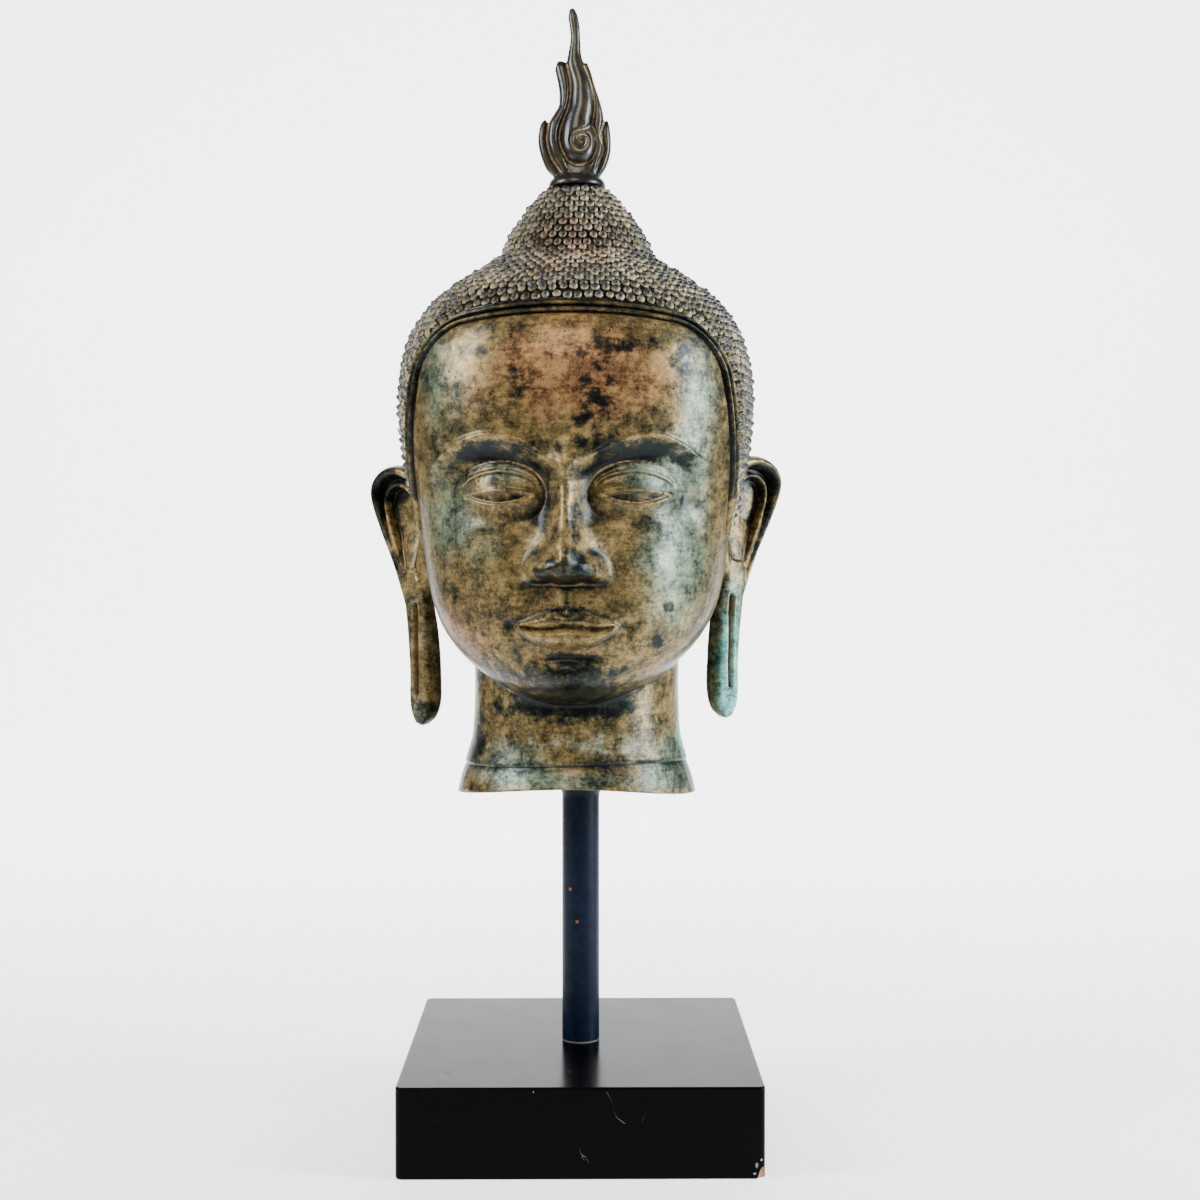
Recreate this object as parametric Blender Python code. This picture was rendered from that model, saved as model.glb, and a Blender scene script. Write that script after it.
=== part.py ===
"""A cast bronze head with a flame finial, on a steel rod that stands in a lacquered wooden block.

Metres, +Z up, and -Y is the way the head looks. The origin is the middle of the block's underside.
The head is drawn in fingers, the old carvers' measure: the face is twelve of them, from hairline to chin.
"""

import math

import bmesh
import bpy
import numpy as np
from mathutils import Matrix, Vector

MM = 0.001

# Wooden block
BLOCK_SIDE = 200 * MM
BLOCK_HEIGHT = 50 * MM
BLOCK_CORNER = 4 * MM
BLOCK_EDGE = 1 * MM

# Steel rod, and how it sits in the block below and in the neck above
ROD_RADIUS = 11 * MM
ROD_SHOWN = 152 * MM
ROD_IN_BLOCK = 35 * MM
ROD_IN_NECK = 45 * MM
WELD_WIDTH = 2.5 * MM
WELD_HEIGHT = 4 * MM
FIT = 0.3 * MM
ROD_SIDES = 32

# Head
FACE_HEIGHT = 219 * MM
FINGER = FACE_HEIGHT / 12
SOCKET_MOUTH = -2.54  # every head height is in fingers above the chin
CHIN_Z = BLOCK_HEIGHT + ROD_SHOWN - SOCKET_MOUTH * FINGER
HEAD_ASIDE = -2.4 * MM  # the casting sits a little off the rod, and looks a little to that side
HEAD_TURN = math.radians(-3)

# Heights of the head, by the canon's thirds
RIM = -2.74
MOUTH = 2.67
EYE = 6.6
EYE_OUT = 2.02  # from the middle of the face to the middle of an eye
EYE_HALF = 1.06
BROW_LINE = ((0, 7.50), (0.6, 7.72), (1.2, 8.05), (1.9, 8.32), (2.6, 8.38), (3.4, 8.12), (4.2, 7.55))
HAIRLINE = 12.0
SEAT = 16.70  # the flat top of the hair, where the flame stands

# Skull with its cap of hair: (height, half-width or depth from the rod's axis)
SKULL_SIDE = (
    (0, 4.35), (2, 4.62), (4, 4.87), (6, 5.17), (8, 5.54), (9.5, 5.68), (11, 5.55), (12, 5.21),
    (13, 4.46), (13.7, 3.53), (14.3, 2.62), (14.9, 2.34), (15.5, 1.97), (16.1, 1.50), (16.7, 0.92),
)
SKULL_FRONT = (
    (0, 5.05), (2, 5.22), (4, 5.36), (6, 5.45), (8, 5.68), (9.5, 5.76), (11, 5.66), (12, 5.35),
    (13, 4.65), (13.7, 3.75), (14.3, 2.74), (14.9, 2.34), (15.5, 1.96), (16.1, 1.50), (16.7, 0.92),
)
SKULL_BACK = (
    (0, 4.60), (2, 5.15), (4, 5.75), (6, 6.20), (8, 6.42), (9.5, 6.36), (11, 5.95), (12, 5.40),
    (13, 4.55), (13.7, 3.60), (14.3, 2.64), (14.9, 2.32), (15.5, 1.96), (16.1, 1.50), (16.7, 0.92),
)
NECK_SIDE = ((RIM, 3.84), (-2.3, 3.74), (-1.8, 3.57), (-1, 3.38), (0, 3.30), (2, 3.30))
NECK_FRONT = ((RIM, 3.35), (-2.3, 3.18), (-1.8, 3.06), (-1, 2.98), (0, 2.95), (2, 2.90))
NECK_BACK = ((RIM, 3.60), (-2.3, 3.40), (-1.8, 3.28), (-1, 3.24), (0, 3.35), (2, 3.70))
CROWN_SHIFT = ((10, 0.0), (12, 0.10), (14, 0.30), (17, 0.35))  # the crown sits a little behind the rod
JAW_TOP = (2.8, 4.6, 7.5)  # where the jaw starts to close: in front, at the side and behind
JAW_END = (0.0, 0.75, 1.3)
JAW_POWER = (2.8, 2.6, 2.0)
HAIR_STEP = 0.15
HEM_WIDTH = 0.42
HEM_HEIGHT = 0.05
RIM_WAVE = 0.40
LAND = 1.3  # radius of the flat around the rod's socket
FULL_SECTION = (-0.5, 1.0, 11.0, 14.3)  # the skull is a little square between these heights
FACE_FORMS = (0.1, 0.6, 9.5, 10.5)  # brows, eyes, nose and mouth fade in and out at these

# Hairline: half the angle of the bare face, by height
HAIRLINE_ANGLE = ((0, 78), (5.2, 70), (7, 64), (9, 57), (11, 51), (12, 48))
HAIRLINE_ARCH = 0.35
HAIRLINE_CORNER = 1.2
HAIRLINE_RADIUS = 5.3
NAPE = ((60, 6.4), (88, 6.5), (98, 5.4), (110, 3.4), (130, 2.3), (180, 2.0))

# The head's mesh
COLUMNS = 240
FRONT_SHARE = 0.5
ROW_STEPS = ((RIM, 0.30), (-0.2, 0.07), (8.6, 0.07), (9.2, 0.2), (11.2, 0.1), (12.2, 0.1), (SEAT, 0.30))
FACE_TRIANGLES = 5800
EAR_TRIANGLES = 800
FLAME_TRIANGLES = 1500

# Ears: each lies in a plane of its own, (along, up) from where it leaves the head
EAR_ROOT = (4.72, -0.10)
EAR_FLARE = math.radians(52)
EAR_HIGHER = 2.6 * MM  # the right ear is cast this much higher than the middle, and the left one lower
LEFT_EAR_OUT = 4.7 * MM  # the left ear stands this much further out
HELIX = (
    (0.05, 6.80, .15, .36), (0.25, 7.25, .17, .38), (0.62, 7.54, .19, .40), (1.20, 7.74, .20, .42),
    (1.76, 7.71, .20, .42), (2.17, 7.46, .20, .42), (2.34, 7.05, .185, .42), (2.18, 6.45, .17, .40),
    (1.79, 5.62, .155, .38), (1.40, 4.86, .15, .36), (1.12, 4.15, .15, .33), (0.88, 3.40, .14, .30),
    (0.76, 2.90, .10, .26),
)
ANTIHELIX = (
    (0.30, 6.45, .09, .24, -.06), (0.62, 6.98, .10, .26), (1.08, 7.26, .10, .27), (1.50, 7.27, .10, .28),
    (1.80, 7.02, .10, .28), (1.84, 6.55, .10, .28), (1.58, 5.75, .10, .29), (1.24, 4.98, .10, .29),
    (1.00, 4.40, .12, .29), (0.84, 4.00, .15, .29), (0.70, 3.60, .20, .29),
)
BOWL = (  # its floor lies deep at the top and comes up to the lobe
    (0.70, 7.30, .30, .20, -.44), (1.00, 6.80, .80, .22, -.46), (1.00, 6.10, .84, .24, -.36),
    (0.86, 5.40, .72, .24, -.20), (0.76, 4.80, .56, .24, -.08), (0.70, 4.20, .42, .24, .02),
    (0.66, 3.50, .36, .24, .04),
)
BAND = (  # between the bowl and the cheek
    (0.02, 7.00, .24, .30), (0.02, 6.20, .26, .32), (0.06, 5.40, .32, .33), (0.18, 4.60, .36, .34),
    (0.34, 3.90, .38, .33), (0.42, 3.20, .38, .31),
)
LOBE = (
    (0.52, 4.00, .42, .28, -.02), (0.50, 3.30, .47, .32, -.05), (0.41, 2.30, .44, .40, -.12),
    (0.35, 1.20, .42, .43, -.15), (0.35, 0.30, .43, .42, -.15), (0.37, -0.18, .37, .34, -.12),
    (0.42, -0.50, .18, .20, -.06),
)
EAR_SHELL = (
    (-0.3, 6.9), (0.45, 7.45), (1.15, 7.75), (1.85, 7.72), (2.28, 7.35), (2.34, 6.85), (2.12, 6.10),
    (1.78, 5.40), (1.43, 4.70), (1.13, 4.00), (0.80, 3.20), (0.15, 3.30), (-0.3, 4.0),
)
EAR_VOXEL = 1.1 * MM
LOBE_SQUARE = 0.45
SHELL_DEPTH = (-0.66, -0.40)

# Flame, in hundredths of its own height above its seat
FLAME_HEIGHT = 106.5 * MM
FLAME_VOXEL = 0.9 * MM
COLLAR = ((0, -2), (15.0, -2), (15.9, 1.0), (15.7, 2.6), (14.4, 4.4), (11.9, 6.2), (0, 6.2))
TONGUES = (  # (sideways, up, half-width, half-depth) along each tongue, from its foot to its tip
    ((-10.0, 6.4, 2.0, 3.3), (-14.2, 11.1, 2.8, 3.9), (-16.5, 15.8, 2.8, 4.3), (-18.1, 20.5, 2.7, 4.3),
     (-19.0, 25.2, 2.6, 4.1), (-19.0, 29.9, 2.4, 3.8), (-18.2, 34.6, 2.2, 2.8), (-17.7, 37.6, 0.8, 0.9)),
    ((-5.7, 8.3, 2.8, 4.7), (-9.6, 15.8, 4.1, 6.6), (-11.8, 20.5, 3.9, 6.8), (-13.0, 25.2, 3.8, 6.6),
     (-12.9, 29.9, 3.8, 6.4), (-12.0, 34.6, 4.0, 6.1), (-9.8, 39.2, 3.5, 5.9), (-7.4, 43.9, 3.2, 5.6),
     (-6.6, 48.6, 3.3, 5.2), (-6.4, 53.3, 3.6, 4.7), (-6.9, 58.0, 3.7, 4.3), (-7.8, 62.7, 3.8, 3.8),
     (-9.0, 67.4, 3.4, 3.0), (-10.1, 69.5, 1.5, 1.3)),
    ((1.9, 12.0, 2.3, 4.7), (1.7, 14.4, 6.6, 7.5), (1.3, 18.6, 9.4, 9.4), (0.7, 25.2, 10.6, 9.9),
     (0.2, 31.7, 9.6, 9.4), (0.8, 37.4, 8.3, 8.7), (2.4, 43.9, 7.4, 7.9), (2.6, 50.5, 6.7, 6.9),
     (2.1, 57.1, 5.8, 6.2), (0.7, 62.7, 5.4, 5.4), (-1.0, 68.4, 4.9, 4.7), (-1.3, 74.0, 3.7, 3.8),
     (-0.9, 81.5, 2.3, 2.8), (-1.2, 88.1, 2.3, 2.5), (-2.2, 94.6, 2.2, 2.2), (-2.8, 99.0, 1.1, 1.1)),
    ((7.9, 8.3, 2.8, 4.7), (10.6, 15.8, 2.8, 6.2), (12.2, 20.5, 2.5, 6.2), (12.1, 25.2, 2.4, 6.0),
     (11.5, 29.9, 2.6, 5.8), (11.5, 34.6, 3.2, 5.6), (11.8, 39.2, 3.0, 5.4), (11.4, 43.9, 2.5, 5.1),
     (10.2, 48.6, 2.3, 4.5), (8.6, 53.3, 2.3, 4.1), (7.1, 58.0, 2.3, 3.6), (5.9, 62.7, 2.2, 3.0),
     (5.1, 67.4, 1.3, 2.3), (5.1, 69.1, 0.8, 0.9)),
    ((10.9, 6.4, 1.5, 3.3), (13.2, 11.1, 2.4, 3.9), (15.0, 15.8, 2.6, 4.3), (16.3, 20.5, 2.4, 4.3),
     (16.2, 25.2, 2.7, 4.1), (15.7, 29.9, 2.9, 3.8), (16.2, 34.6, 1.8, 2.8), (16.5, 37.2, 0.7, 0.9)),
    ((1.3, 2.6, 9.4, 5.6), (1.3, 8.3, 12.2, 5.6), (-0.6, 15.8, 16.0, 3.9), (-0.6, 25.2, 16.9, 3.2),
     (0.4, 34.6, 14.1, 2.8), (1.5, 43.9, 10.3, 2.6), (-1.0, 58.0, 7.5, 2.3), (-2.0, 65.5, 6.1, 1.9)),
)


def material(name, colour, roughness, metallic):
    made = bpy.data.materials.new(name)
    made.use_nodes = True
    shader = made.node_tree.nodes["Principled BSDF"]
    shader.inputs["Base Color"].default_value = (*colour, 1)
    shader.inputs["Roughness"].default_value = roughness
    shader.inputs["Metallic"].default_value = metallic
    made.diffuse_color = (*colour, 1)
    return made


def add_object(name, mesh, finish=None):
    made = bpy.data.objects.new(name, mesh)
    bpy.context.scene.collection.objects.link(made)
    if finish:
        mesh.materials.append(finish)
    return made


def hide_helper(helper):
    """A helper shapes another object and is no part itself."""
    helper.hide_render = True
    helper.display_type = "WIRE"


def mesh_of(name, points, faces):
    made = bpy.data.meshes.new(name)
    made.from_pydata([tuple(p) for p in points], [], [tuple(f) for f in faces])
    tidy = bmesh.new()
    tidy.from_mesh(made)
    bmesh.ops.recalc_face_normals(tidy, faces=tidy.faces)
    tidy.to_mesh(made)
    tidy.free()
    made.shade_smooth()
    return made


def curve(at, stations):
    """A smooth line through (place, value) stations, read at each place."""
    place, value = np.array(stations, float).T
    slope = np.gradient(value, place)
    i = np.clip(np.searchsorted(place, at) - 1, 0, len(place) - 2)
    span = place[i + 1] - place[i]
    s = np.clip((at - place[i]) / span, 0, 1)
    start = value[i] * (1 + 2 * s) * (1 - s) ** 2 + slope[i] * span * s * (1 - s) ** 2
    end = value[i + 1] * s * s * (3 - 2 * s) + slope[i + 1] * span * s * s * (s - 1)
    return start + end


def step(at, low, high):
    s = np.clip((at - low) / (high - low), 0, 1)
    return s * s * (3 - 2 * s)


def bump(across, up, wide, high):
    return np.exp(-((across / wide) ** 2) - (up / high) ** 2)


def join(a, b, round_off):
    """The greater of two heights, with the crease between them rounded."""
    near = np.clip(round_off - np.abs(a - b), 0, None) / round_off
    return np.maximum(a, b) + near * near * round_off / 4


def round_angle(front, side, back, sine, cosine):
    """A value that goes smoothly from the front by the side to the back."""
    ahead, behind = np.clip(cosine, 0, 1) ** 2, np.clip(-cosine, 0, 1) ** 2
    return front * ahead + side * sine**2 + back * behind


def section(t, sine, cosine, side, front, back, power):
    depth = np.where(cosine > 0, curve(t, front), curve(t, back))
    width = curve(t, side)
    return ((np.abs(sine) / width) ** power + (np.abs(cosine) / depth) ** power) ** (-1 / power)


def hairline_distance(angle, t):
    """How far a place lies outside the bare face, in fingers; it is negative on the face."""
    sideways = np.abs(angle) * HAIRLINE_RADIUS
    beyond_side = sideways - np.radians(curve(t, HAIRLINE_ANGLE)) * HAIRLINE_RADIUS
    top = HAIRLINE - HAIRLINE_ARCH * (sideways / 4) ** 2
    x, y = beyond_side + HAIRLINE_CORNER, t - top + HAIRLINE_CORNER
    outside = np.hypot(np.clip(x, 0, None), np.clip(y, 0, None))
    return np.minimum(np.maximum(x, y), 0) + outside - HAIRLINE_CORNER


def hair_height(angle, t):
    """How far the cap of hair and its hem stand proud of the skin."""
    out = hairline_distance(angle, t)
    above_nape = t - curve(np.degrees(np.abs(angle)), NAPE)
    hem = HEM_HEIGHT * step(out, 0.0, 0.06) * (1 - step(out, HEM_WIDTH - 0.06, HEM_WIDTH))
    return (HAIR_STEP * step(out, -0.02, 0.06) + hem) * step(above_nape, -0.10, 0.10)


def line(off, width):
    """A narrow rounded ridge along a line that lies off by this much."""
    return np.exp(-((off / width) ** 2))


def eye_form(x, t):
    """The socket under the brow and the half-closed eye in it, as a push forward."""
    below = curve(x, BROW_LINE) - t
    sunk = 0.42 * step(below, -0.02, 0.70) * (1 - step(below, 1.4, 2.8)) * (1 - step(x, 3.3, 4.4))
    sunk += 0.22 * bump(x - 1.05, t - 6.9, 0.44, 0.60)
    across = (x - EYE_OUT) / EYE_HALF
    inside = np.clip(1 - across**2, 0, 1)
    ball = np.clip(1 - ((x - EYE_OUT) / 1.42) ** 2 - ((t - EYE) / 1.02) ** 2, 0, 1)
    upper_edge, lower_edge = EYE + 0.14 * inside, EYE - 0.26 * inside
    opening = step(upper_edge - t, 0.0, 0.05) * step(t - lower_edge, 0.0, 0.05) * step(inside, 0.0, 0.06)
    crease = EYE + 0.10 + 0.62 * np.sqrt(np.clip(1 - (across / 1.15) ** 2, 0, 1))
    near_eye = 1 - step(np.abs(across), 1.0, 1.14)
    lids = line(t - upper_edge, 0.07) + 0.7 * line(t - lower_edge + 0.04, 0.06)
    form = join(-sunk, 0.50 * ball**0.8 - 0.44, 0.26)
    form += (0.06 * lids - 0.06 * line(t - crease, 0.06)) * near_eye - 0.09 * opening
    ridge = 0.08 * line(below - 0.02, 0.09) * (1 - step(x, 3.9, 4.4)) * step(x, 0.3, 0.7)
    return form + ridge


def nose_form(x, t):
    """The bridge, tip and wings of the nose over the skin, with its underside and nostrils."""
    rise = curve(t, ((3.9, 0.98), (4.3, 1.12), (4.7, 1.18), (5.2, 1.12), (5.8, 0.98), (6.4, 0.82),
                            (7.0, 0.66), (7.6, 0.42), (8.2, 0.16), (8.8, 0.0)))
    width = curve(t, ((4.0, 0.70), (4.8, 0.64), (5.6, 0.54), (6.6, 0.46), (7.4, 0.50), (8.4, 0.70)))
    bridge = rise * (0.80 * np.exp(-np.abs(x / width) ** 2.4) + 0.20 * np.exp(-((x / 1.1) ** 2)))
    tip = 0.15 * bump(x, t - 4.58, 0.50, 0.50)
    round_wing = ((x - 0.74) / 0.40) ** 2 + ((t - 4.42) / 0.38) ** 2
    wing = 0.42 * np.exp(-(round_wing**1.3))
    nostril = 0.16 * bump(x - 0.44, t - 4.08, 0.20, 0.10)
    return (bridge + tip + wing) * step(t, 3.92, 4.26) - nostril


def mouth_form(x, t):
    """Both lips, the hollow below them, the groove above them and the chin."""
    middle = MOUTH + 0.05 * np.cos(x * 3.4) * np.exp(-x * x) + 0.07 * step(x, 0.9, 1.6)
    above = curve(x, ((0, 3.10), (0.32, 3.20), (0.8, 3.05), (1.3, 2.86), (1.62, 2.76)))
    under = curve(x, ((0, 2.10), (0.5, 2.13), (1.0, 2.30), (1.4, 2.55), (1.6, 2.70)))
    upper = np.clip((t - middle) / (above - middle + 1e-6), 0, 1)
    lower = np.clip((middle - t) / (middle - under + 1e-6), 0, 1)
    inside = 1 - step(x, 1.35, 1.62)
    full = np.where(t > middle, 0.22 * np.sin(np.pi * upper) ** 0.65, 0.27 * np.sin(np.pi * lower) ** 0.65)
    outline = 0.05 * (line(t - above, 0.06) + line(t - under, 0.06)) - 0.07 * line(t - middle, 0.05)
    muzzle = 0.20 * bump(x, t - 2.8, 1.5, 1.0)
    hollow = 0.16 * bump(x, t - 1.78, 0.9, 0.20) + 0.09 * bump(x - 1.76, t - 2.74, 0.22, 0.24)
    groove = 0.07 * bump(x, t - 3.55, 0.17, 0.32)
    chin = 0.62 * bump(x, t - 0.92, 1.15, 0.70)
    return (full + outline) * inside + muzzle - hollow - groove + chin


def carve_face(x, t, forward):
    """Brows, eyes, nose, mouth and cheeks, pushed forward from the plain oval."""
    x = np.abs(x)
    cheek = 0.12 * bump(x - 2.5, t - 4.4, 1.1, 1.3)
    skin = eye_form(x, t) + mouth_form(x, t) + cheek
    return forward + skin + nose_form(x, t)


def head_points(angle, t):
    """The head's surface: angle from straight ahead, t in fingers above the chin. It gives fingers."""
    sine, cosine = np.sin(angle), np.cos(angle)
    power = 2.0 + 0.3 * step(t, *FULL_SECTION[:2]) * (1 - step(t, *FULL_SECTION[2:]))
    skull = section(t, sine, cosine, SKULL_SIDE, SKULL_FRONT, SKULL_BACK, power)
    top, end, round_power = (round_angle(*three, sine, cosine) for three in (JAW_TOP, JAW_END, JAW_POWER))
    closed = np.clip((top - t) / (top - end), 0, 1) ** round_power
    skull = skull * (1 - closed) ** (1 / round_power) - HAIR_STEP + hair_height(angle, t)
    neck = section(t, sine, cosine, NECK_SIDE, NECK_FRONT, NECK_BACK, 2.0)
    radius = np.where(t < 4, join(skull, neck, 0.30), skull)
    x, forward = radius * sine, radius * cosine - curve(t, CROWN_SHIFT)
    face = step(cosine, 0.15, 0.35) * step(t, *FACE_FORMS[:2]) * (1 - step(t, *FACE_FORMS[2:]))
    forward = forward + (carve_face(x, t, forward) - forward) * face
    lift = RIM_WAVE * cosine**2 * (1 - step(t, RIM, RIM + 1.2))
    return np.stack([x, -forward, t + lift], axis=-1)


def row_heights():
    """Heights of the mesh's rings, close together over the face."""
    places, gaps = np.array(ROW_STEPS).T
    rows = [places[0]]
    while rows[-1] < places[-1]:
        rows.append(rows[-1] + float(np.interp(rows[-1], places, gaps)))
    share = (np.array(rows) - rows[0]) / (rows[-1] - rows[0])
    return places[0] + share * (places[-1] - places[0])


def head_mesh():
    """Rings of points from a flat land around the socket, up over the head, to the flat seat of the flame."""
    rows = row_heights()
    u = np.linspace(-1, 1, COLUMNS, endpoint=False)
    angles = np.pi * (FRONT_SHARE * u + (1 - FRONT_SHARE) * u**3)
    land = np.stack([LAND * np.sin(angles), -LAND * np.cos(angles), np.full(COLUMNS, SOCKET_MOUTH)], 1)
    rings = np.concatenate([land, head_points(*np.meshgrid(angles, rows)).reshape(-1, 3)])
    ends = np.array([[0, 0, SOCKET_MOUTH], [0, CROWN_SHIFT[-1][1], rows[-1]]])
    points = np.concatenate([rings, ends]) * FINGER
    below, above = len(rings), len(rings) + 1
    last = len(rings) - COLUMNS
    faces = []
    for j in range(COLUMNS):
        k = (j + 1) % COLUMNS
        for i in range(0, last, COLUMNS):
            faces.append((i + j, i + k, i + k + COLUMNS, i + j + COLUMNS))
        faces.append((k, j, below))
        faces.append((last + j, last + k, above))
    return mesh_of("head", points, faces)


def limb(stations, place, sides=12, square=1.0, ends=0.6):
    """A closed, tapering form along stations of (sideways, up, half-width, half-depth, forward).

    Its section is an ellipse where square is 1, and closer to a rectangle where square is less.
    Stations of four values lie in the middle of the depth.
    """
    stations = np.array([(*station, 0)[:5] for station in stations], float)
    along = np.linspace(0, len(stations) - 1, 4 * len(stations))
    knots = np.arange(len(stations))
    path = np.stack([curve(along, np.stack([knots, stations[:, i]], 1)) for i in range(5)], 1)
    run = np.gradient(path[:, :2], axis=0)
    run /= np.linalg.norm(run, axis=1)[:, None]
    across = np.stack([run[:, 1], -run[:, 0]], 1)
    turn = np.linspace(0, 2 * np.pi, sides, endpoint=False)
    section_x = np.sign(np.cos(turn)) * np.abs(np.cos(turn)) ** square
    section_y = np.sign(np.sin(turn)) * np.abs(np.sin(turn)) ** square
    rings = []
    for (x, z, wide, deep, forward), (nx, nz) in zip(path, across):
        side = wide * section_x
        rings.append(np.stack([x + nx * side, z + nz * side, forward + deep * section_y], 1))
    for end, way in ((0, -1), (-1, 1)):
        cap = rings[end].mean(0) + np.append(run[end], 0) * way * ends * path[end, 2]
        rings.insert(0 if way < 0 else len(rings), np.tile(cap, (sides, 1)))
    points = place(np.concatenate(rings))
    faces = []
    for i in range(len(rings) - 1):
        for j in range(sides):
            k = (j + 1) % sides
            faces.append((i * sides + j, i * sides + k, (i + 1) * sides + k, (i + 1) * sides + j))
    made = bmesh.new()
    verts = [made.verts.new(p) for p in points]
    for face in faces:
        made.faces.new([verts[i] for i in face])
    bmesh.ops.remove_doubles(made, verts=made.verts, dist=1e-7)
    bmesh.ops.recalc_face_normals(made, faces=made.faces)
    return made


def slab(outline, low, high, place):
    """A flat closed form from an outline of (sideways, up)."""
    made = bmesh.new()
    rings = [[made.verts.new(place(np.array([[x, z, w]]))[0]) for x, z in outline] for w in (low, high)]
    made.faces.new(rings[0])
    made.faces.new(rings[1][::-1])
    for i in range(len(outline)):
        k = (i + 1) % len(outline)
        made.faces.new((rings[0][i], rings[1][i], rings[1][k], rings[0][k]))
    bmesh.ops.recalc_face_normals(made, faces=made.faces)
    return made


def thin_out(target, triangles):
    """Collapses an object's faces to about this many triangles."""
    thin = target.modifiers.new("Fewer faces", "DECIMATE")
    thin.ratio = 1
    bpy.context.view_layer.update()
    dense = target.evaluated_get(bpy.context.evaluated_depsgraph_get()).to_mesh()
    dense.calc_loop_triangles()
    thin.ratio = min(1, triangles / len(dense.loop_triangles))


def fused(name, forms, voxel, smooth_rounds, triangles):
    """One closed form from several that overlap."""
    mesh = bpy.data.meshes.new(name)
    whole = bmesh.new()
    for form in forms:
        form.to_mesh(mesh)
        form.free()
        whole.from_mesh(mesh)
    whole.to_mesh(mesh)
    whole.free()
    made = add_object(name, mesh)
    remesh = made.modifiers.new("Fuse", "REMESH")
    remesh.mode = "VOXEL"
    remesh.voxel_size = voxel
    relax = made.modifiers.new("Relax", "SMOOTH")
    relax.factor = 0.5
    relax.iterations = smooth_rounds
    thin_out(made, triangles)
    return made


def ear_place(side):
    """Turns an ear's (along, up, outward) into the head's metres. side is 1 right, -1 left."""
    sine, cosine = math.sin(EAR_FLARE), math.cos(EAR_FLARE)

    def place(p):
        x = EAR_ROOT[0] + p[:, 0] * sine + p[:, 2] * cosine
        y = EAR_ROOT[1] + p[:, 0] * cosine - p[:, 2] * sine
        return np.stack([side * x, y, p[:, 1]], 1) * FINGER

    return place


def ear(name, side):
    place = ear_place(side)

    def back(p):
        return place(p + [0, 0, -0.30])

    forms = [limb(form, back) for form in (HELIX, ANTIHELIX, BOWL, BAND)]
    forms.append(limb(LOBE, back, sides=24, square=LOBE_SQUARE))
    forms.append(slab(EAR_SHELL, *SHELL_DEPTH, place))
    return fused(name, forms, EAR_VOXEL, 7, EAR_TRIANGLES)


def turned(profile, unit=1.0, sides=32):
    """A closed round form from its profile of (radius, height), which starts and ends on the axis."""
    made = bmesh.new()
    line = [made.verts.new((x * unit, 0, z * unit)) for x, z in profile]
    edges = [made.edges.new(pair) for pair in zip(line, line[1:])]
    bmesh.ops.spin(made, geom=line + edges, axis=(0, 0, 1), cent=(0, 0, 0), steps=sides, angle=2 * math.pi)
    bmesh.ops.remove_doubles(made, verts=made.verts, dist=1e-6)
    bmesh.ops.recalc_face_normals(made, faces=made.faces)
    return made


def head_frame():
    """The head's own place: the rod's axis at the height of the chin, a little aside and turned."""
    return Matrix.Translation((HEAD_ASIDE, 0, CHIN_Z)) @ Matrix.Rotation(HEAD_TURN, 4, "Z")


def add_boolean(target, helper, operation):
    cut = target.modifiers.new(helper.name, "BOOLEAN")
    cut.operation = operation
    cut.object = helper
    hide_helper(helper)


def cylinder(name, radius, low, high):
    made = bmesh.new()
    bmesh.ops.create_cone(
        made, cap_ends=True, segments=ROD_SIDES, radius1=radius, radius2=radius, depth=high - low,
        matrix=Matrix.Translation((0, 0, (low + high) / 2)),
    )
    mesh = bpy.data.meshes.new(name)
    made.to_mesh(mesh)
    made.free()
    return add_object(name, mesh)


def build_flame(bronze):
    """The flame and the ring that it stands in, on the crown's axis, cut flat beneath."""
    unit = FLAME_HEIGHT / 100

    def place(p):
        return np.stack([p[:, 0], p[:, 2], p[:, 1]], 1) * unit

    forms = [limb(stations, place) for stations in TONGUES] + [turned(COLLAR, unit)]
    made = fused("flame_finial", forms, FLAME_VOXEL, 3, FLAME_TRIANGLES)
    made.data.materials.append(bronze)
    seat = CHIN_Z + SEAT * FINGER
    made.location = head_frame() @ Vector((0, CROWN_SHIFT[-1][1] * FINGER, SEAT * FINGER))
    below = cylinder("flame_seat", 2 * FINGER, seat - FINGER, seat + FIT)
    add_boolean(made, below, "DIFFERENCE")


def build_head(bronze):
    head = add_object("bronze_head", head_mesh(), bronze)
    head.matrix_world = head_frame()
    thin_out(head, FACE_TRIANGLES)
    for name, side, aside in (("right_ear", 1, 0), ("left_ear", -1, -LEFT_EAR_OUT)):
        helper = ear(name, side)
        helper.matrix_world = head_frame() @ Matrix.Translation((aside, 0, side * EAR_HIGHER))
        add_boolean(head, helper, "UNION")
    mouth = BLOCK_HEIGHT + ROD_SHOWN
    socket = cylinder("neck_socket", ROD_RADIUS + FIT, mouth - FINGER, mouth + ROD_IN_NECK + FIT)
    add_boolean(head, socket, "DIFFERENCE")


def build_rod(steel):
    """A round rod with a bead of weld under the neck."""
    low, mouth = BLOCK_HEIGHT - ROD_IN_BLOCK, BLOCK_HEIGHT + ROD_SHOWN
    profile = (
        (0, low), (ROD_RADIUS, low), (ROD_RADIUS, mouth - FIT - WELD_HEIGHT),
        (ROD_RADIUS + 0.4 * WELD_WIDTH, mouth - FIT - 0.45 * WELD_HEIGHT),
        (ROD_RADIUS + WELD_WIDTH, mouth - FIT), (ROD_RADIUS, mouth - FIT),
        (ROD_RADIUS, mouth + ROD_IN_NECK), (0, mouth + ROD_IN_NECK),
    )
    made = turned(profile, sides=ROD_SIDES)
    mesh = bpy.data.meshes.new("steel_rod")
    made.to_mesh(mesh)
    made.free()
    mesh.shade_smooth()
    mesh.set_sharp_from_angle(angle=math.radians(40))
    add_object("steel_rod", mesh, steel)


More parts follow.
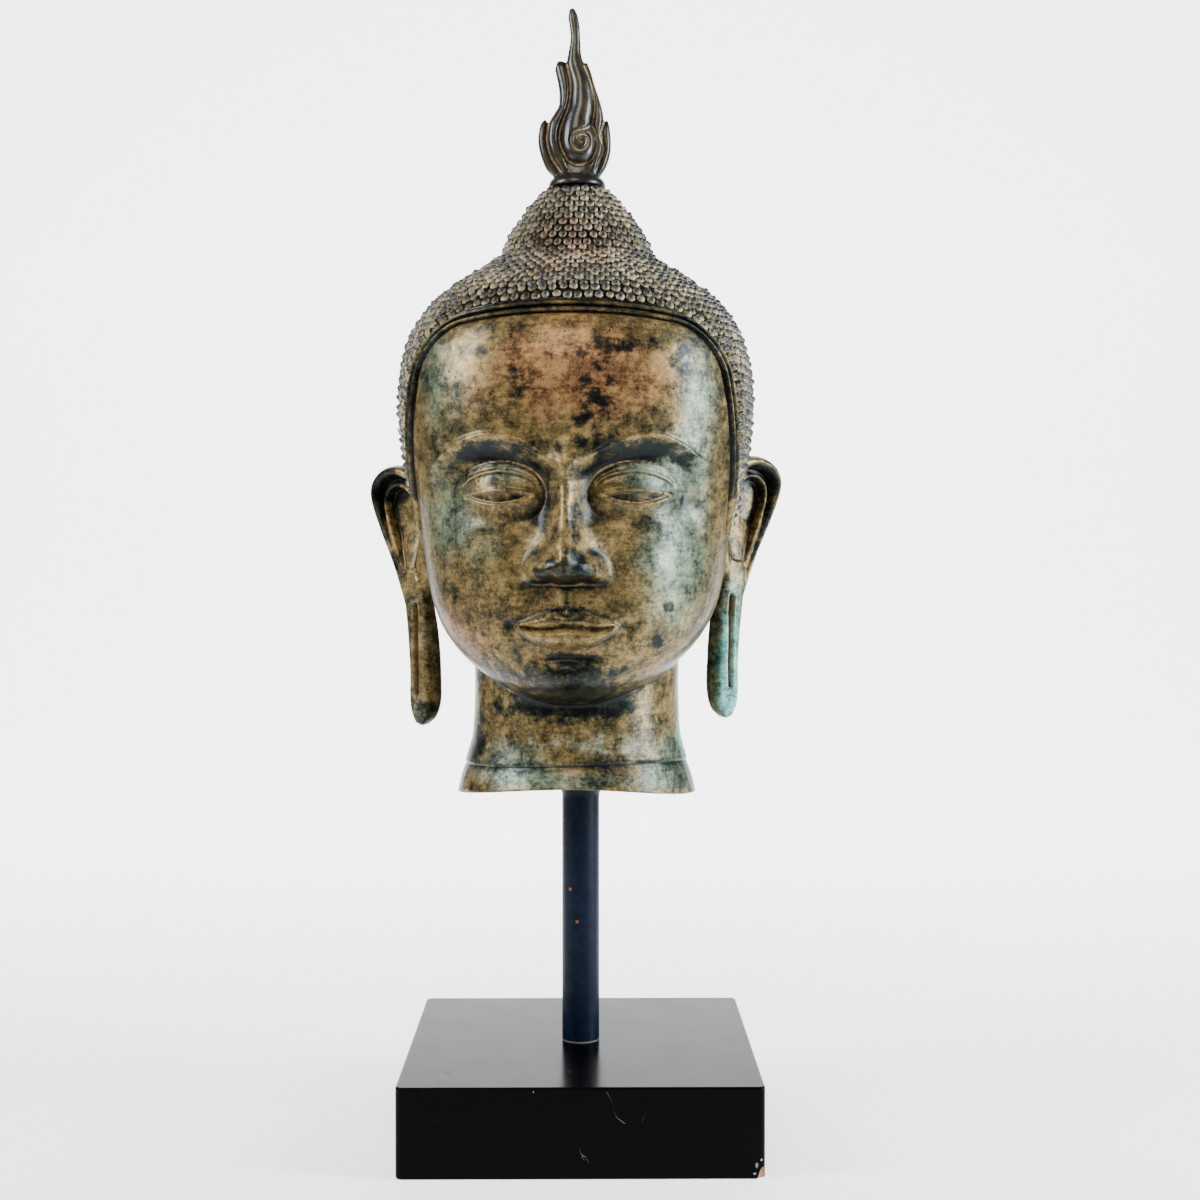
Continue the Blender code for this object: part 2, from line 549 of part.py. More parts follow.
def build_block(wood):
    made = bmesh.new()
    bmesh.ops.create_cube(made, size=1, matrix=Matrix.Diagonal((BLOCK_SIDE, BLOCK_SIDE, BLOCK_HEIGHT, 1)))
    upright = [e for e in made.edges if abs(e.verts[0].co.z - e.verts[1].co.z) > BLOCK_HEIGHT / 2]
    bmesh.ops.bevel(made, geom=upright, offset=BLOCK_CORNER, segments=4, profile=0.5, affect="EDGES")
    level = [e for e in made.edges if abs(e.verts[0].co.z - e.verts[1].co.z) < BLOCK_HEIGHT / 2]
    bmesh.ops.bevel(made, geom=level, offset=BLOCK_EDGE, segments=2, profile=0.5, affect="EDGES")
    bmesh.ops.translate(made, verts=made.verts, vec=(0, 0, BLOCK_HEIGHT / 2))
    mesh = bpy.data.meshes.new("wooden_block")
    made.to_mesh(mesh)
    made.free()
    mesh.shade_smooth()
    mesh.set_sharp_from_angle(angle=math.radians(35))
    block = add_object("wooden_block", mesh, wood)
    hole = cylinder("block_hole", ROD_RADIUS + FIT, BLOCK_HEIGHT - ROD_IN_BLOCK - FIT, BLOCK_HEIGHT + FINGER)
    add_boolean(block, hole, "DIFFERENCE")


def main():
    for old in list(bpy.data.objects):
        bpy.data.objects.remove(old)
    build_block(material("black_lacquer", (0.012, 0.012, 0.013), 0.35, 0.0))
    build_rod(material("black_steel", (0.020, 0.024, 0.032), 0.45, 0.6))
    build_head(material("patinated_bronze", (0.20, 0.16, 0.10), 0.42, 0.55))
    build_flame(material("dark_bronze", (0.07, 0.05, 0.03), 0.32, 0.7))


main()
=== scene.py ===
import math
from functools import partial

import bmesh
import bpy
import numpy as np
from mathutils import Matrix, Vector, noise


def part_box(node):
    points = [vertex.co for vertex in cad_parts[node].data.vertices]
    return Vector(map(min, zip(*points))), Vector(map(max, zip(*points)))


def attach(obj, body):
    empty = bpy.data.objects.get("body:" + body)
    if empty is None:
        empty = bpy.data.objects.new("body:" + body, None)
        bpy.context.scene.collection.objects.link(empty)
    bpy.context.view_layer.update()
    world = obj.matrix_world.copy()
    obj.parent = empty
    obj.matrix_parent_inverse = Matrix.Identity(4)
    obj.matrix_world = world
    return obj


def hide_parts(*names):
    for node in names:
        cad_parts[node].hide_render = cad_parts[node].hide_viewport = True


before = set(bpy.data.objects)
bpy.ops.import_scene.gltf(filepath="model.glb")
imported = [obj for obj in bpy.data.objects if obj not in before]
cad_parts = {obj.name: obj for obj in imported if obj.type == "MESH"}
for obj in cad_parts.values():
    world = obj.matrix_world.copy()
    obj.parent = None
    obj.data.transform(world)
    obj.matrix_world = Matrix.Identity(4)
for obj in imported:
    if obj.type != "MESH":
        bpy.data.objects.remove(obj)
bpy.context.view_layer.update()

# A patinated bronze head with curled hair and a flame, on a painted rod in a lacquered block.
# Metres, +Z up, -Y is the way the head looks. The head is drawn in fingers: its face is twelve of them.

MM = 0.001
FINGER = 219 * MM / 12
BLOCK_LOW, BLOCK_HIGH = (Vector(corner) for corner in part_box("wooden_block"))
ROD_LOW, ROD_HIGH = (Vector(corner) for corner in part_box("steel_rod"))
FLAME_LOW, FLAME_HIGH = (Vector(corner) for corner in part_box("flame_finial"))

# The head's place, as the solid has it; heights on it are in fingers above the chin
CHIN_Z = 0.24836
HEAD_ASIDE = -2.4 * MM
HEAD_TURN = math.radians(-3)
RIM = -2.74
SOCKET_MOUTH = -2.54
LAND = 1.3
SEAT = 16.70

# Camera, from the perspective of the block's edges; the photograph is 1200 pixels wide
CAMERA_PLACE = (0.0028, -1.0638, 0.3344)
CAMERA_DOWN = math.radians(1.295)
CAMERA_RIGHT = math.radians(0.464)
CAMERA_FOCUS = 1802 / 1200  # of the frame's width

# Face
MOUTH = 2.67
EYE = 6.6
EYE_OUT = 2.02
EYE_HALF = 1.06
BROW_LINE = ((0, 7.50), (0.6, 7.72), (1.2, 8.05), (1.9, 8.32), (2.6, 8.38), (3.4, 8.12), (4.2, 7.55))

# Skull, neck and hair: (height, half-width or depth from the rod's axis)
SKULL_SIDE = (
    (0, 4.35), (2, 4.62), (4, 4.87), (6, 5.17), (8, 5.54), (9.5, 5.68), (11, 5.55), (12, 5.21),
    (13, 4.46), (13.7, 3.53), (14.3, 2.62), (14.9, 2.34), (15.5, 1.97), (16.1, 1.50), (16.7, 0.92),
)
SKULL_FRONT = (
    (0, 5.05), (2, 5.22), (4, 5.36), (6, 5.45), (8, 5.68), (9.5, 5.76), (11, 5.66), (12, 5.35),
    (13, 4.65), (13.7, 3.75), (14.3, 2.74), (14.9, 2.34), (15.5, 1.96), (16.1, 1.50), (16.7, 0.92),
)
SKULL_BACK = (
    (0, 4.60), (2, 5.15), (4, 5.75), (6, 6.20), (8, 6.42), (9.5, 6.36), (11, 5.95), (12, 5.40),
    (13, 4.55), (13.7, 3.60), (14.3, 2.64), (14.9, 2.32), (15.5, 1.96), (16.1, 1.50), (16.7, 0.92),
)
NECK_SIDE = ((RIM, 3.84), (-2.3, 3.74), (-1.8, 3.57), (-1, 3.38), (0, 3.30), (2, 3.30))
NECK_FRONT = ((RIM, 3.35), (-2.3, 3.18), (-1.8, 3.06), (-1, 2.98), (0, 2.95), (2, 2.90))
NECK_BACK = ((RIM, 3.60), (-2.3, 3.40), (-1.8, 3.28), (-1, 3.24), (0, 3.35), (2, 3.70))
CROWN_SHIFT = ((10, 0.0), (12, 0.10), (14, 0.30), (17, 0.35))
JAW_TOP = (2.8, 4.6, 7.5)  # where the jaw starts to close: in front, at the side and behind
JAW_END = (0.0, 0.75, 1.3)
JAW_POWER = (2.8, 2.6, 2.0)
RIM_WAVE = 0.40
NECK_CREASE = -1.72
HAIRLINE = 12.0
HAIRLINE_ANGLE = ((0, 78), (5.2, 70), (7, 64), (9, 57), (11, 51), (12, 48))
HAIRLINE_ARCH = 0.35
HAIRLINE_CORNER = 1.2
HAIRLINE_RADIUS = 5.3
HEM_END = 5.2  # the hem runs out here, in front of the ears
NAPE = ((60, 6.4), (88, 6.5), (98, 5.4), (110, 3.4), (130, 2.3), (180, 2.0))
HAIR_STEP = 0.15
HEM_WIDTH = 0.42
CURL_HEIGHT = 0.13
CURL_PITCH = 0.315
CURL_ROW = 0.265
CHIN = (HEAD_ASIDE, 0, CHIN_Z)
CROWN_FROM = 14.2  # curls above this height stand on the crown

# The head's mesh: its rings lie this far apart, in fingers, and its columns crowd in front and at the hem
ROW_STEPS = (
    (RIM, 0.06), (-1.9, 0.03), (-1.5, 0.03), (-1.2, 0.07), (0, 0.06), (1.6, 0.035), (5.0, 0.035),
    (8.6, 0.035), (9.2, 0.08), (11.0, 0.05), (11.6, 0.02), (12.6, 0.02), (13.2, 0.12), (SEAT, 0.14),
)
COLUMNS = 760
COLUMN_CROWDS = ((0, 4.0), (32, 4.0), (40, 2.2), (46, 5.0), (80, 5.0), (90, 1.4), (180, 1.0))
HEAD_TRIANGLES = 196000


def smooth_curve(at, stations):
    """A smooth line through (place, value) stations, read at each place."""
    place, value = np.array(stations, float).T
    slope = np.gradient(value, place)
    i = np.clip(np.searchsorted(place, at) - 1, 0, len(place) - 2)
    span = place[i + 1] - place[i]
    s = np.clip((at - place[i]) / span, 0, 1)
    start = value[i] * (1 + 2 * s) * (1 - s) ** 2 + slope[i] * span * s * (1 - s) ** 2
    end = value[i + 1] * s * s * (3 - 2 * s) + slope[i + 1] * span * s * s * (s - 1)
    return start + end


def walked(points):
    """How far along a run of points each one lies."""
    return np.concatenate([[0], np.cumsum(np.linalg.norm(np.diff(points, axis=0), axis=1))])


def tube_faces(rings, sides):
    """Faces between rings of this many points each, one ring after another."""
    return [(i + j, i + (j + 1) % sides, i + sides + (j + 1) % sides, i + sides + j)
            for i in range(0, (rings - 1) * sides, sides) for j in range(sides)]


def step(at, low, high):
    """Rises smoothly from 0 at low to 1 at high."""
    s = np.clip((at - low) / (high - low), 0, 1)
    return s * s * (3 - 2 * s)


def bump(across, up, wide, high):
    """A soft round hill, 1 in the middle, with these half-widths."""
    return np.exp(-((across / wide) ** 2) - (up / high) ** 2)


def line(off, width):
    """A narrow rounded ridge along a line that lies off by this much."""
    return np.exp(-((off / width) ** 2))


def join(a, b, round_off):
    """The greater of two heights, with the crease between them rounded."""
    near = np.clip(round_off - np.abs(a - b), 0, None) / round_off
    return np.maximum(a, b) + near * near * round_off / 4


def round_angle(front, side, back, sine, cosine):
    """A value that goes smoothly from the front by the side to the back."""
    ahead, behind = np.clip(cosine, 0, 1) ** 2, np.clip(-cosine, 0, 1) ** 2
    return front * ahead + side * sine**2 + back * behind


def section(t, sine, cosine, side, front, back, power):
    depth = np.where(cosine > 0, smooth_curve(t, front), smooth_curve(t, back))
    width = smooth_curve(t, side)
    return ((np.abs(sine) / width) ** power + (np.abs(cosine) / depth) ** power) ** (-1 / power)


def hairline_distance(angle, t):
    """How far a place lies outside the bare face, in fingers; it is negative on the face."""
    sideways = np.abs(angle) * HAIRLINE_RADIUS
    beyond_side = sideways - np.radians(smooth_curve(t, HAIRLINE_ANGLE)) * HAIRLINE_RADIUS
    top = HAIRLINE - HAIRLINE_ARCH * (sideways / 4) ** 2
    x, y = beyond_side + HAIRLINE_CORNER, t - top + HAIRLINE_CORNER
    outside = np.hypot(np.clip(x, 0, None), np.clip(y, 0, None))
    return np.minimum(np.maximum(x, y), 0) + outside - HAIRLINE_CORNER


def above_nape(angle, t):
    return t - smooth_curve(np.degrees(np.abs(angle)), NAPE)


def hair_height(angle, t):
    """The ground that the curls stand on, and the hem of two ridges round the face."""
    out = hairline_distance(angle, t)
    ground = 0.05 * step(out, 0.0, 0.05) + (HAIR_STEP - CURL_HEIGHT - 0.05) * step(out, 0.40, 0.46)
    ridges = 0.10 * line(out - 0.10, 0.070) + 0.13 * line(out - 0.30, 0.075)
    grooves = 0.06 * line(out + 0.01, 0.028) + 0.09 * line(out - 0.20, 0.026) + 0.07 * line(out - 0.41, 0.030)
    runs_on = step(t, HEM_END - 0.2, HEM_END + 0.6) * (np.abs(angle) < math.radians(88))
    hem = (ridges - grooves) * np.maximum(runs_on, step(above_nape(angle, t), -0.10, 0.10))
    return hem + ground * step(above_nape(angle, t), -0.10, 0.10)


def eye_form(x, t):
    """The socket under the brow and the half-closed eye in it, as a push forward."""
    below = smooth_curve(x, BROW_LINE) - t
    sunk = 0.42 * step(below, -0.02, 0.70) * (1 - step(below, 1.4, 2.8)) * (1 - step(x, 3.3, 4.4))
    sunk += 0.22 * bump(x - 1.05, t - 6.9, 0.44, 0.60)
    across = (x - EYE_OUT) / EYE_HALF
    inside = np.clip(1 - across**2, 0, 1)
    ball = np.clip(1 - ((x - EYE_OUT) / 1.42) ** 2 - ((t - EYE) / 1.02) ** 2, 0, 1)
    upper_edge, lower_edge = EYE + 0.14 * inside, EYE - 0.26 * inside
    opening = step(upper_edge - t, 0.0, 0.05) * step(t - lower_edge, 0.0, 0.05) * step(inside, 0.0, 0.06)
    crease = EYE + 0.10 + 0.62 * np.sqrt(np.clip(1 - (across / 1.15) ** 2, 0, 1))
    near_eye = 1 - step(np.abs(across), 1.0, 1.14)
    lids = line(t - upper_edge, 0.07) + 0.7 * line(t - lower_edge + 0.04, 0.06)
    form = join(-sunk, 0.50 * ball**0.8 - 0.44, 0.26)
    form += (0.06 * lids - 0.06 * line(t - crease, 0.06)) * near_eye - 0.09 * opening
    ridge = 0.08 * line(below - 0.02, 0.09) * (1 - step(x, 3.9, 4.4)) * step(x, 0.3, 1.3)
    return form + ridge


def nose_form(x, t):
    """The bridge, tip and wings of the nose over the skin, with its underside and nostrils."""
    rise = smooth_curve(t, ((3.9, 0.98), (4.3, 1.12), (4.7, 1.18), (5.2, 1.12), (5.8, 0.98), (6.4, 0.82),
                            (7.0, 0.66), (7.6, 0.42), (8.2, 0.16), (8.8, 0.0)))
    width = smooth_curve(t, ((4.0, 0.70), (4.8, 0.64), (5.6, 0.54), (6.6, 0.46), (7.4, 0.50), (8.4, 0.70)))
    bridge = rise * (0.80 * np.exp(-np.abs(x / width) ** 1.8) + 0.20 * np.exp(-((x / 1.1) ** 2)))
    tip = 0.15 * bump(x, t - 4.58, 0.50, 0.50)
    round_wing = ((x - 0.74) / 0.40) ** 2 + ((t - 4.42) / 0.38) ** 2
    wing = 0.42 * np.exp(-(round_wing**1.3))
    nostril = 0.16 * bump(x - 0.44, t - 4.08, 0.20, 0.10)
    return (bridge + tip + wing) * step(t, 3.92, 4.26) - nostril


def mouth_form(x, t):
    """Both lips, the hollow below them, the groove above them and the chin."""
    middle = MOUTH + 0.05 * np.cos(x * 3.4) * np.exp(-x * x) + 0.07 * step(x, 0.9, 1.6)
    above = smooth_curve(x, ((0, 3.10), (0.32, 3.20), (0.8, 3.05), (1.3, 2.86), (1.62, 2.76)))
    under = smooth_curve(x, ((0, 2.10), (0.5, 2.13), (1.0, 2.30), (1.4, 2.55), (1.6, 2.70)))
    upper = np.clip((t - middle) / (above - middle + 1e-6), 0, 1)
    lower = np.clip((middle - t) / (middle - under + 1e-6), 0, 1)
    inside = 1 - step(x, 1.35, 1.62)
    full = np.where(t > middle, 0.22 * np.sin(np.pi * upper) ** 0.65, 0.27 * np.sin(np.pi * lower) ** 0.65)
    outline = 0.05 * (line(t - above, 0.06) + line(t - under, 0.06)) - 0.07 * line(t - middle, 0.05)
    muzzle = 0.20 * bump(x, t - 2.8, 1.5, 1.0)
    hollow = 0.16 * bump(x, t - 1.78, 0.9, 0.20) + 0.09 * bump(x - 1.76, t - 2.74, 0.22, 0.24)
    groove = 0.07 * bump(x, t - 3.55, 0.17, 0.32)
    chin = 0.62 * bump(x, t - 0.92, 1.15, 0.70)
    return (full + outline) * inside + muzzle - hollow - groove + chin


def carve_face(x, t, forward):
    """Brows, eyes, nose, mouth and cheeks, pushed forward from the plain oval."""
    x = np.abs(x)
    cheek = 0.12 * bump(x - 2.5, t - 4.4, 1.1, 1.3)
    skin = eye_form(x, t) + mouth_form(x, t) + cheek
    return forward + skin + nose_form(x, t)


def crease_height(angle):
    """Where the crease runs round the neck."""
    return NECK_CREASE + 0.10 * np.sin(1.7 * angle + 0.6)


def head_points(angle, t):
    """The head's surface: angle from straight ahead, t in fingers above the chin. It gives fingers."""
    sine, cosine = np.sin(angle), np.cos(angle)
    power = 2.0 + 0.3 * step(t, -0.5, 1.0) * (1 - step(t, 11, 14.3))
    skull = section(t, sine, cosine, SKULL_SIDE, SKULL_FRONT, SKULL_BACK, power)
    top, end, round_power = (round_angle(*three, sine, cosine) for three in (JAW_TOP, JAW_END, JAW_POWER))
    closed = np.clip((top - t) / (top - end), 0, 1) ** round_power
    skull = skull * (1 - closed) ** (1 / round_power) - HAIR_STEP + hair_height(angle, t)
    neck = section(t, sine, cosine, NECK_SIDE, NECK_FRONT, NECK_BACK, 2.0)
    off = t - crease_height(angle)
    neck += 0.04 * step(off, -0.10, 0.06) * (1 - step(off, 0.1, 0.9)) - 0.04 * line(off, 0.06)
    radius = np.where(t < 4, join(skull, neck, 0.30), skull)
    x, forward = radius * sine, radius * cosine - smooth_curve(t, CROWN_SHIFT)
    face = step(cosine, 0.15, 0.35) * step(t, 0.1, 0.6) * (1 - step(t, 9.5, 10.5))
    forward = forward + (carve_face(x, t, forward) - forward) * face
    lift = RIM_WAVE * cosine**2 * (1 - step(t, RIM, RIM + 1.2))
    return np.stack([x, -forward, t + lift], axis=-1)


def head_matrix():
    return Matrix.Translation((HEAD_ASIDE, 0, CHIN_Z)) @ Matrix.Rotation(HEAD_TURN, 4, "Z")


def moved(points, matrix):
    return points @ np.array(matrix.to_3x3()).T + np.array(matrix.translation)


def in_fingers(points, origin, matrix):
    """Points in metres as fingers from an origin, along the axes of a matrix."""
    return (points - np.array(origin)) @ np.array(matrix.to_3x3()) / FINGER


def new_piece(name, points, faces, finish, *nodes):
    """A piece of the object, from points in metres, which stands for these CAD nodes."""
    mesh = bpy.data.meshes.new(name)
    mesh.from_pydata(points.tolist(), [], faces)
    mesh.validate()
    piece = bpy.data.objects.new(name, mesh)
    bpy.context.scene.collection.objects.link(piece)
    mesh.materials.append(finish)
    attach(piece, "root")
    if nodes:
        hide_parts(*nodes)
    return piece


def apply_modifiers(piece):
    """Puts what the modifiers make into the mesh itself."""
    bpy.context.view_layer.update()
    graph = bpy.context.evaluated_depsgraph_get()
    mesh = bpy.data.meshes.new_from_object(piece.evaluated_get(graph))
    piece.modifiers.clear()
    piece.data = mesh


def points_of(mesh):
    points = np.empty(len(mesh.vertices) * 3)
    mesh.vertices.foreach_get("co", points)
    return points.reshape(-1, 3)


def normals_of(mesh):
    normals = np.empty(len(mesh.vertices) * 3)
    mesh.vertex_normals.foreach_get("vector", normals)
    return normals.reshape(-1, 3)


def move_points(mesh, points):
    mesh.vertices.foreach_set("co", points.ravel())
    mesh.update()


def paint(mesh, name, values):
    """Keeps a value from 0 to 1 at each point, for a material to read by this name."""
    kept = mesh.attributes.get(name) or mesh.attributes.new(name, "FLOAT", "POINT")
    kept.data.foreach_set("value", np.clip(values, 0, 1).astype(np.float32))


def hollows(mesh, *rounds):
    """How far each point lies under its smoothed surroundings, in mm: positive in grooves, negative on edges.

    It gives one reading for each number of rounds of smoothing, fewest rounds first.
    """
    edges = np.empty(len(mesh.edges) * 2, np.int64)
    mesh.edges.foreach_get("vertices", edges)
    a, b = edges.reshape(-1, 2).T
    start, normal = points_of(mesh), normals_of(mesh)
    ends, others = np.concatenate([a, b]), np.concatenate([b, a])
    weight = 1 / np.maximum(((start[ends] - start[others]) ** 2).sum(1), 1e-10)
    whole = np.bincount(ends, weight, len(start))
    smooth = start.copy()
    readings = []
    for done in range(1, rounds[-1] + 1):
        for axis in range(3):
            total = np.bincount(ends, weight * smooth[others, axis], len(start))
            smooth[:, axis] += 0.7 * (total / whole - smooth[:, axis])
        if done in rounds:
            readings.append(((smooth - start) * normal).sum(1) / MM)
    return readings


def lumpy(points, size, seed):
    """Even, unhurried noise from -1 to 1 with lumps of this size, at each point."""
    return np.array([noise.noise(Vector(p) / size + Vector((seed, 0, 0))) for p in points])


def roughen(mesh, *lumps):
    """Makes a surface as uneven as a casting; each of the lumps is (depth, size, seed), in mm."""
    rough = sum(deep * lumpy(points_of(mesh), size * MM, seed) for deep, size, seed in lumps)
    move_points(mesh, points_of(mesh) + normals_of(mesh) * (rough * MM)[:, None])


def ring_heights():
    """Heights of the mesh's rings, close together over the face and the hem."""
    places, gaps = np.array(ROW_STEPS).T
    rows = [places[0]]
    while rows[-1] < places[-1]:
        rows.append(rows[-1] + float(np.interp(rows[-1], places, gaps)))
    share = (np.array(rows) - rows[0]) / (rows[-1] - rows[0])
    return places[0] + share * (places[-1] - places[0])


# Patches of patina on the front, and painted shade in the brow sockets and under the nose: (aside, above the
# chin) and half-widths in fingers, and strength
PATCHES = {
    "warm": ((0.4, 10.0, 3.3, 1.5, 1.0), (-3.3, 2.6, 1.4, 1.8, 0.55), (-0.2, 12.8, 2.2, 1.6, 0.5),
             (0.1, 1.9, 1.6, 0.5, 0.4), (4.2, 6.6, 0.6, 2.4, 0.35)),
    "green": ((-3.7, 5.9, 1.2, 1.5, 0.8), (3.2, 4.6, 1.3, 2.4, 0.9), (3.9, 9.5, 0.8, 2.6, 0.8),
              (-4.0, 10.2, 0.8, 2.2, 0.7), (-1.6, 7.3, 0.9, 0.6, 0.7), (2.4, 7.3, 1.2, 0.5, 0.9),
              (-2.2, 4.9, 0.7, 0.7, 0.4), (3.2, -1.6, 0.7, 1.4, 0.9), (-1.9, -1.6, 1.5, 0.8, 0.8),
              (0.6, -2.1, 3.4, 0.4, 0.6)),
    # Dark patches: blotches of patina, and painted shade in the brow sockets and under the nose
    "dark": ((-1.3, 9.9, 0.8, 0.6, 0.7), (0.8, 9.7, 0.9, 0.7, 0.6), (1.6, 11.0, 1.5, 0.35, 0.6),
             (3.4, 10.4, 0.6, 0.9, 0.6), (-2.6, 10.9, 0.9, 0.3, 0.5), (-2.3, 7.9, 1.7, 0.4, 0.9),
             (2.3, 7.9, 1.7, 0.45, 0.9), (-2.3, 7.0, 0.9, 0.4, 0.5), (0, 4.3, 1.0, 0.5, 1.2),
             (0.3, 5.6, 0.35, 1.2, 0.6), (0, 3.0, 1.2, 0.4, 0.7), (0.1, 1.0, 1.8, 0.9, 1.0),
             (3.0, 3.3, 0.22, 0.18, 1.1), (2.7, 2.2, 0.20, 0.24, 1.0), (-3.5, 3.6, 0.4, 0.6, 0.5),
             (-3.1, -1.0, 0.5, 0.9, 0.9), (0, 0.1, 2.6, 0.35, 0.8), (0.7, 8.6, 0.9, 0.5, 0.5),
             (-2.6, 1.5, 1.0, 0.9, 0.45)),
    "pale": ((-0.4, -0.9, 2.6, 0.4, 0.42), (1.8, -1.3, 1.5, 0.7, 0.42), (0.0, -2.1, 1.4, 0.3, 0.3),
             (-2.9, -2.0, 0.7, 0.9, 0.4), (-4.3, 7.2, 0.4, 1.5, 0.35)),
    "teal": ((5.1, 1.0, 0.7, 2.5, 1.1), (3.5, -0.9, 0.35, 1.2, 0.6)),
}


def paint_patina(mesh):
    """Where on the front each tone of patina lies, with painted shade in the brow sockets and under the nose,
    and where dirt and rubbing gather.
    """
    place = in_fingers(points_of(mesh), CHIN, head_matrix())
    front = step(-place[:, 1], -2.5, 0.5)
    for name, patches in PATCHES.items():
        total = sum(strength * bump(place[:, 0] - x, place[:, 2] - t, wide, high)
                    for x, t, wide, high, strength in patches)
        paint(mesh, name, total * front)
    fine, broad = hollows(mesh, 8, 90)
    under_nose = bump(place[:, 0], place[:, 2] - 4.25, 1.3, 0.5)
    chip = bump(place[:, 0] - 0.1, place[:, 2] - NECK_CREASE, 0.22, 0.10) * front
    nose_root = bump(place[:, 0], place[:, 2] - 6.7, 0.55, 1.3)
    clean = (1 - 0.8 * under_nose) * (1 - 0.75 * nose_root)
    # Fine creases: tan residue on the bare skin; in the hem and the neck's crease the material paints them
    # near black as shade
    paint(mesh, "residue", step(fine, 0.13, 0.34) * clean + 1.5 * chip)
    paint(mesh, "hollow", step(broad, 0.10, 0.9))
    paint(mesh, "rubbed", step(-broad, 0.15, 0.9))


def make_head(bronze):
    """Skin, hem and the ground under the curls: one closed skin, fine enough for every carved line."""
    rows = ring_heights()
    degrees = np.linspace(0, 180, 1801)
    crowd = np.cumsum(np.interp(degrees, *zip(*COLUMN_CROWDS)))
    half = np.interp(np.linspace(0, 1, COLUMNS // 2 + 1), (crowd - crowd[0]) / np.ptp(crowd), degrees)
    angles = np.radians(np.concatenate([-half[:0:-1], half[:-1]]))
    land = np.stack([LAND * np.sin(angles), -LAND * np.cos(angles), np.full(COLUMNS, SOCKET_MOUTH)], 1)
    rings = np.concatenate([land, head_points(*np.meshgrid(angles, rows)).reshape(-1, 3)])
    ends = np.array([[0, 0, SOCKET_MOUTH], [0, CROWN_SHIFT[-1][1], rows[-1]]])
    points = moved(np.concatenate([rings, ends]) * FINGER, head_matrix())
    below, above, last = len(rings), len(rings) + 1, len(rings) - COLUMNS
    faces = []
    for j in range(COLUMNS):
        k = (j + 1) % COLUMNS
        faces += [(i + j, i + k, i + k + COLUMNS, i + j + COLUMNS) for i in range(0, last, COLUMNS)]
        faces.append((k, j, below))
        faces.append((last + j, last + k, above))
    head = new_piece("head_casting", points, faces, bronze, "bronze_head")
    paint_patina(head.data)
    place = in_fingers(points, CHIN, head_matrix())
    angle = np.arctan2(place[:, 0], -place[:, 1] + smooth_curve(place[:, 2], CROWN_SHIFT))
    out = hairline_distance(angle, place[:, 2])
    above = step(above_nape(angle, place[:, 2]), -0.1, 0.1)
    # Painted shade: the ground under the curls, which the material paints dark
    paint(head.data, "hair", step(out, HEM_WIDTH - 0.05, HEM_WIDTH + 0.05) * above)
    # The hem, and the neck's crease: the material paints the grooves in them near black as shade
    in_crease = line(place[:, 2] - crease_height(angle), 0.12)
    paint(head.data, "hem", np.maximum(step(out, -0.06, 0.02) * above, 0.8 * in_crease))
    thin = head.modifiers.new("Fewer faces", "DECIMATE")
    thin.ratio = HEAD_TRIANGLES / (2 * len(faces) - 2 * COLUMNS)
    apply_modifiers(head)
    roughen(head.data, (0.16, 9, 1), (0.07, 3, 5))
    head.data.shade_smooth()
    return head


def curl_shape(sides=9):
    """One snail curl: rings that climb and draw in as they go round, on a foot below the ground."""
    turn = np.linspace(0, 2 * np.pi, sides, endpoint=False)
    share = turn / (2 * np.pi)
    rings = []
    for radius, height, climb in ((0.98, -0.35, 0.0), (0.86, 0.32, 0.24), (0.52, 0.78, 0.32)):
        reach = radius * (1 - 0.16 * share)
        rings.append(np.stack([reach * np.cos(turn), reach * np.sin(turn), height + climb * share], 1))
    points = np.concatenate(rings + [np.array([[0.06, 0.08, 1.25]])])
    faces = [tuple(range(sides))[::-1]] + tube_faces(len(rings), sides)
    faces += [(2 * sides + j, 2 * sides + (j + 1) % sides, 3 * sides) for j in range(sides)]
    height = np.concatenate([np.zeros(sides), np.full(sides, 0.5), np.full(sides, 0.9), [1.0]])
    return points, faces, height


def hem_row(beyond):
    """Places along a line that runs this far outside the bare face, one curl apart."""
    way = np.linspace(-2.2, 2.2, 900)
    near, far = np.zeros(900), np.full(900, 14.0)
    for _ in range(30):
        middle = (near + far) / 2
        off = hairline_distance(middle * np.sin(way) / HAIRLINE_RADIUS, 7 + middle * np.cos(way))
        near, far = np.where(off > beyond, near, middle), np.where(off > beyond, middle, far)
    angle, t = near * np.sin(way) / HAIRLINE_RADIUS, 7 + near * np.cos(way)
    walk = walked(head_points(angle, t))
    along = np.arange(CURL_PITCH / 2, walk[-1], CURL_PITCH)
    return np.stack([np.interp(along, walk, angle), np.interp(along, walk, t)], 1)


def curl_places():
    """Two rows along the hem, then rows round the hair, every second one set off by half a curl."""
    t = np.linspace(0.8, SEAT, 4000)
    side = smooth_curve(t, SKULL_SIDE) * np.where(t < 2, np.sqrt(np.clip((t - 0.6) / 1.4, 0, 1)), 1)
    run = np.concatenate([[0], np.cumsum(np.hypot(np.diff(t), np.diff(side)))])
    rows = np.interp(np.arange(run[-1] - 0.26, 0, -CURL_ROW), run, t)
    first = HEM_WIDTH + 0.13
    round_head = np.linspace(-np.pi, np.pi, 200)
    spots = [tuple(spot) for row in (first, first + CURL_ROW) for spot in hem_row(row)]
    for number, height in enumerate(rows):
        walk = walked(head_points(round_head, np.full(200, height)))
        count = max(6, round(walk[-1] / CURL_PITCH))
        from_front = (np.arange(count) + 0.5 * (number % 2 + count % 2)) / count
        angle = np.interp(from_front % 1 * walk[-1], walk, round_head)
        spots += [(a, height) for a in angle[hairline_distance(angle, height) > first + 1.5 * CURL_ROW]]
    spots = np.array(spots)
    return spots[above_nape(*spots.T) > 0.12]


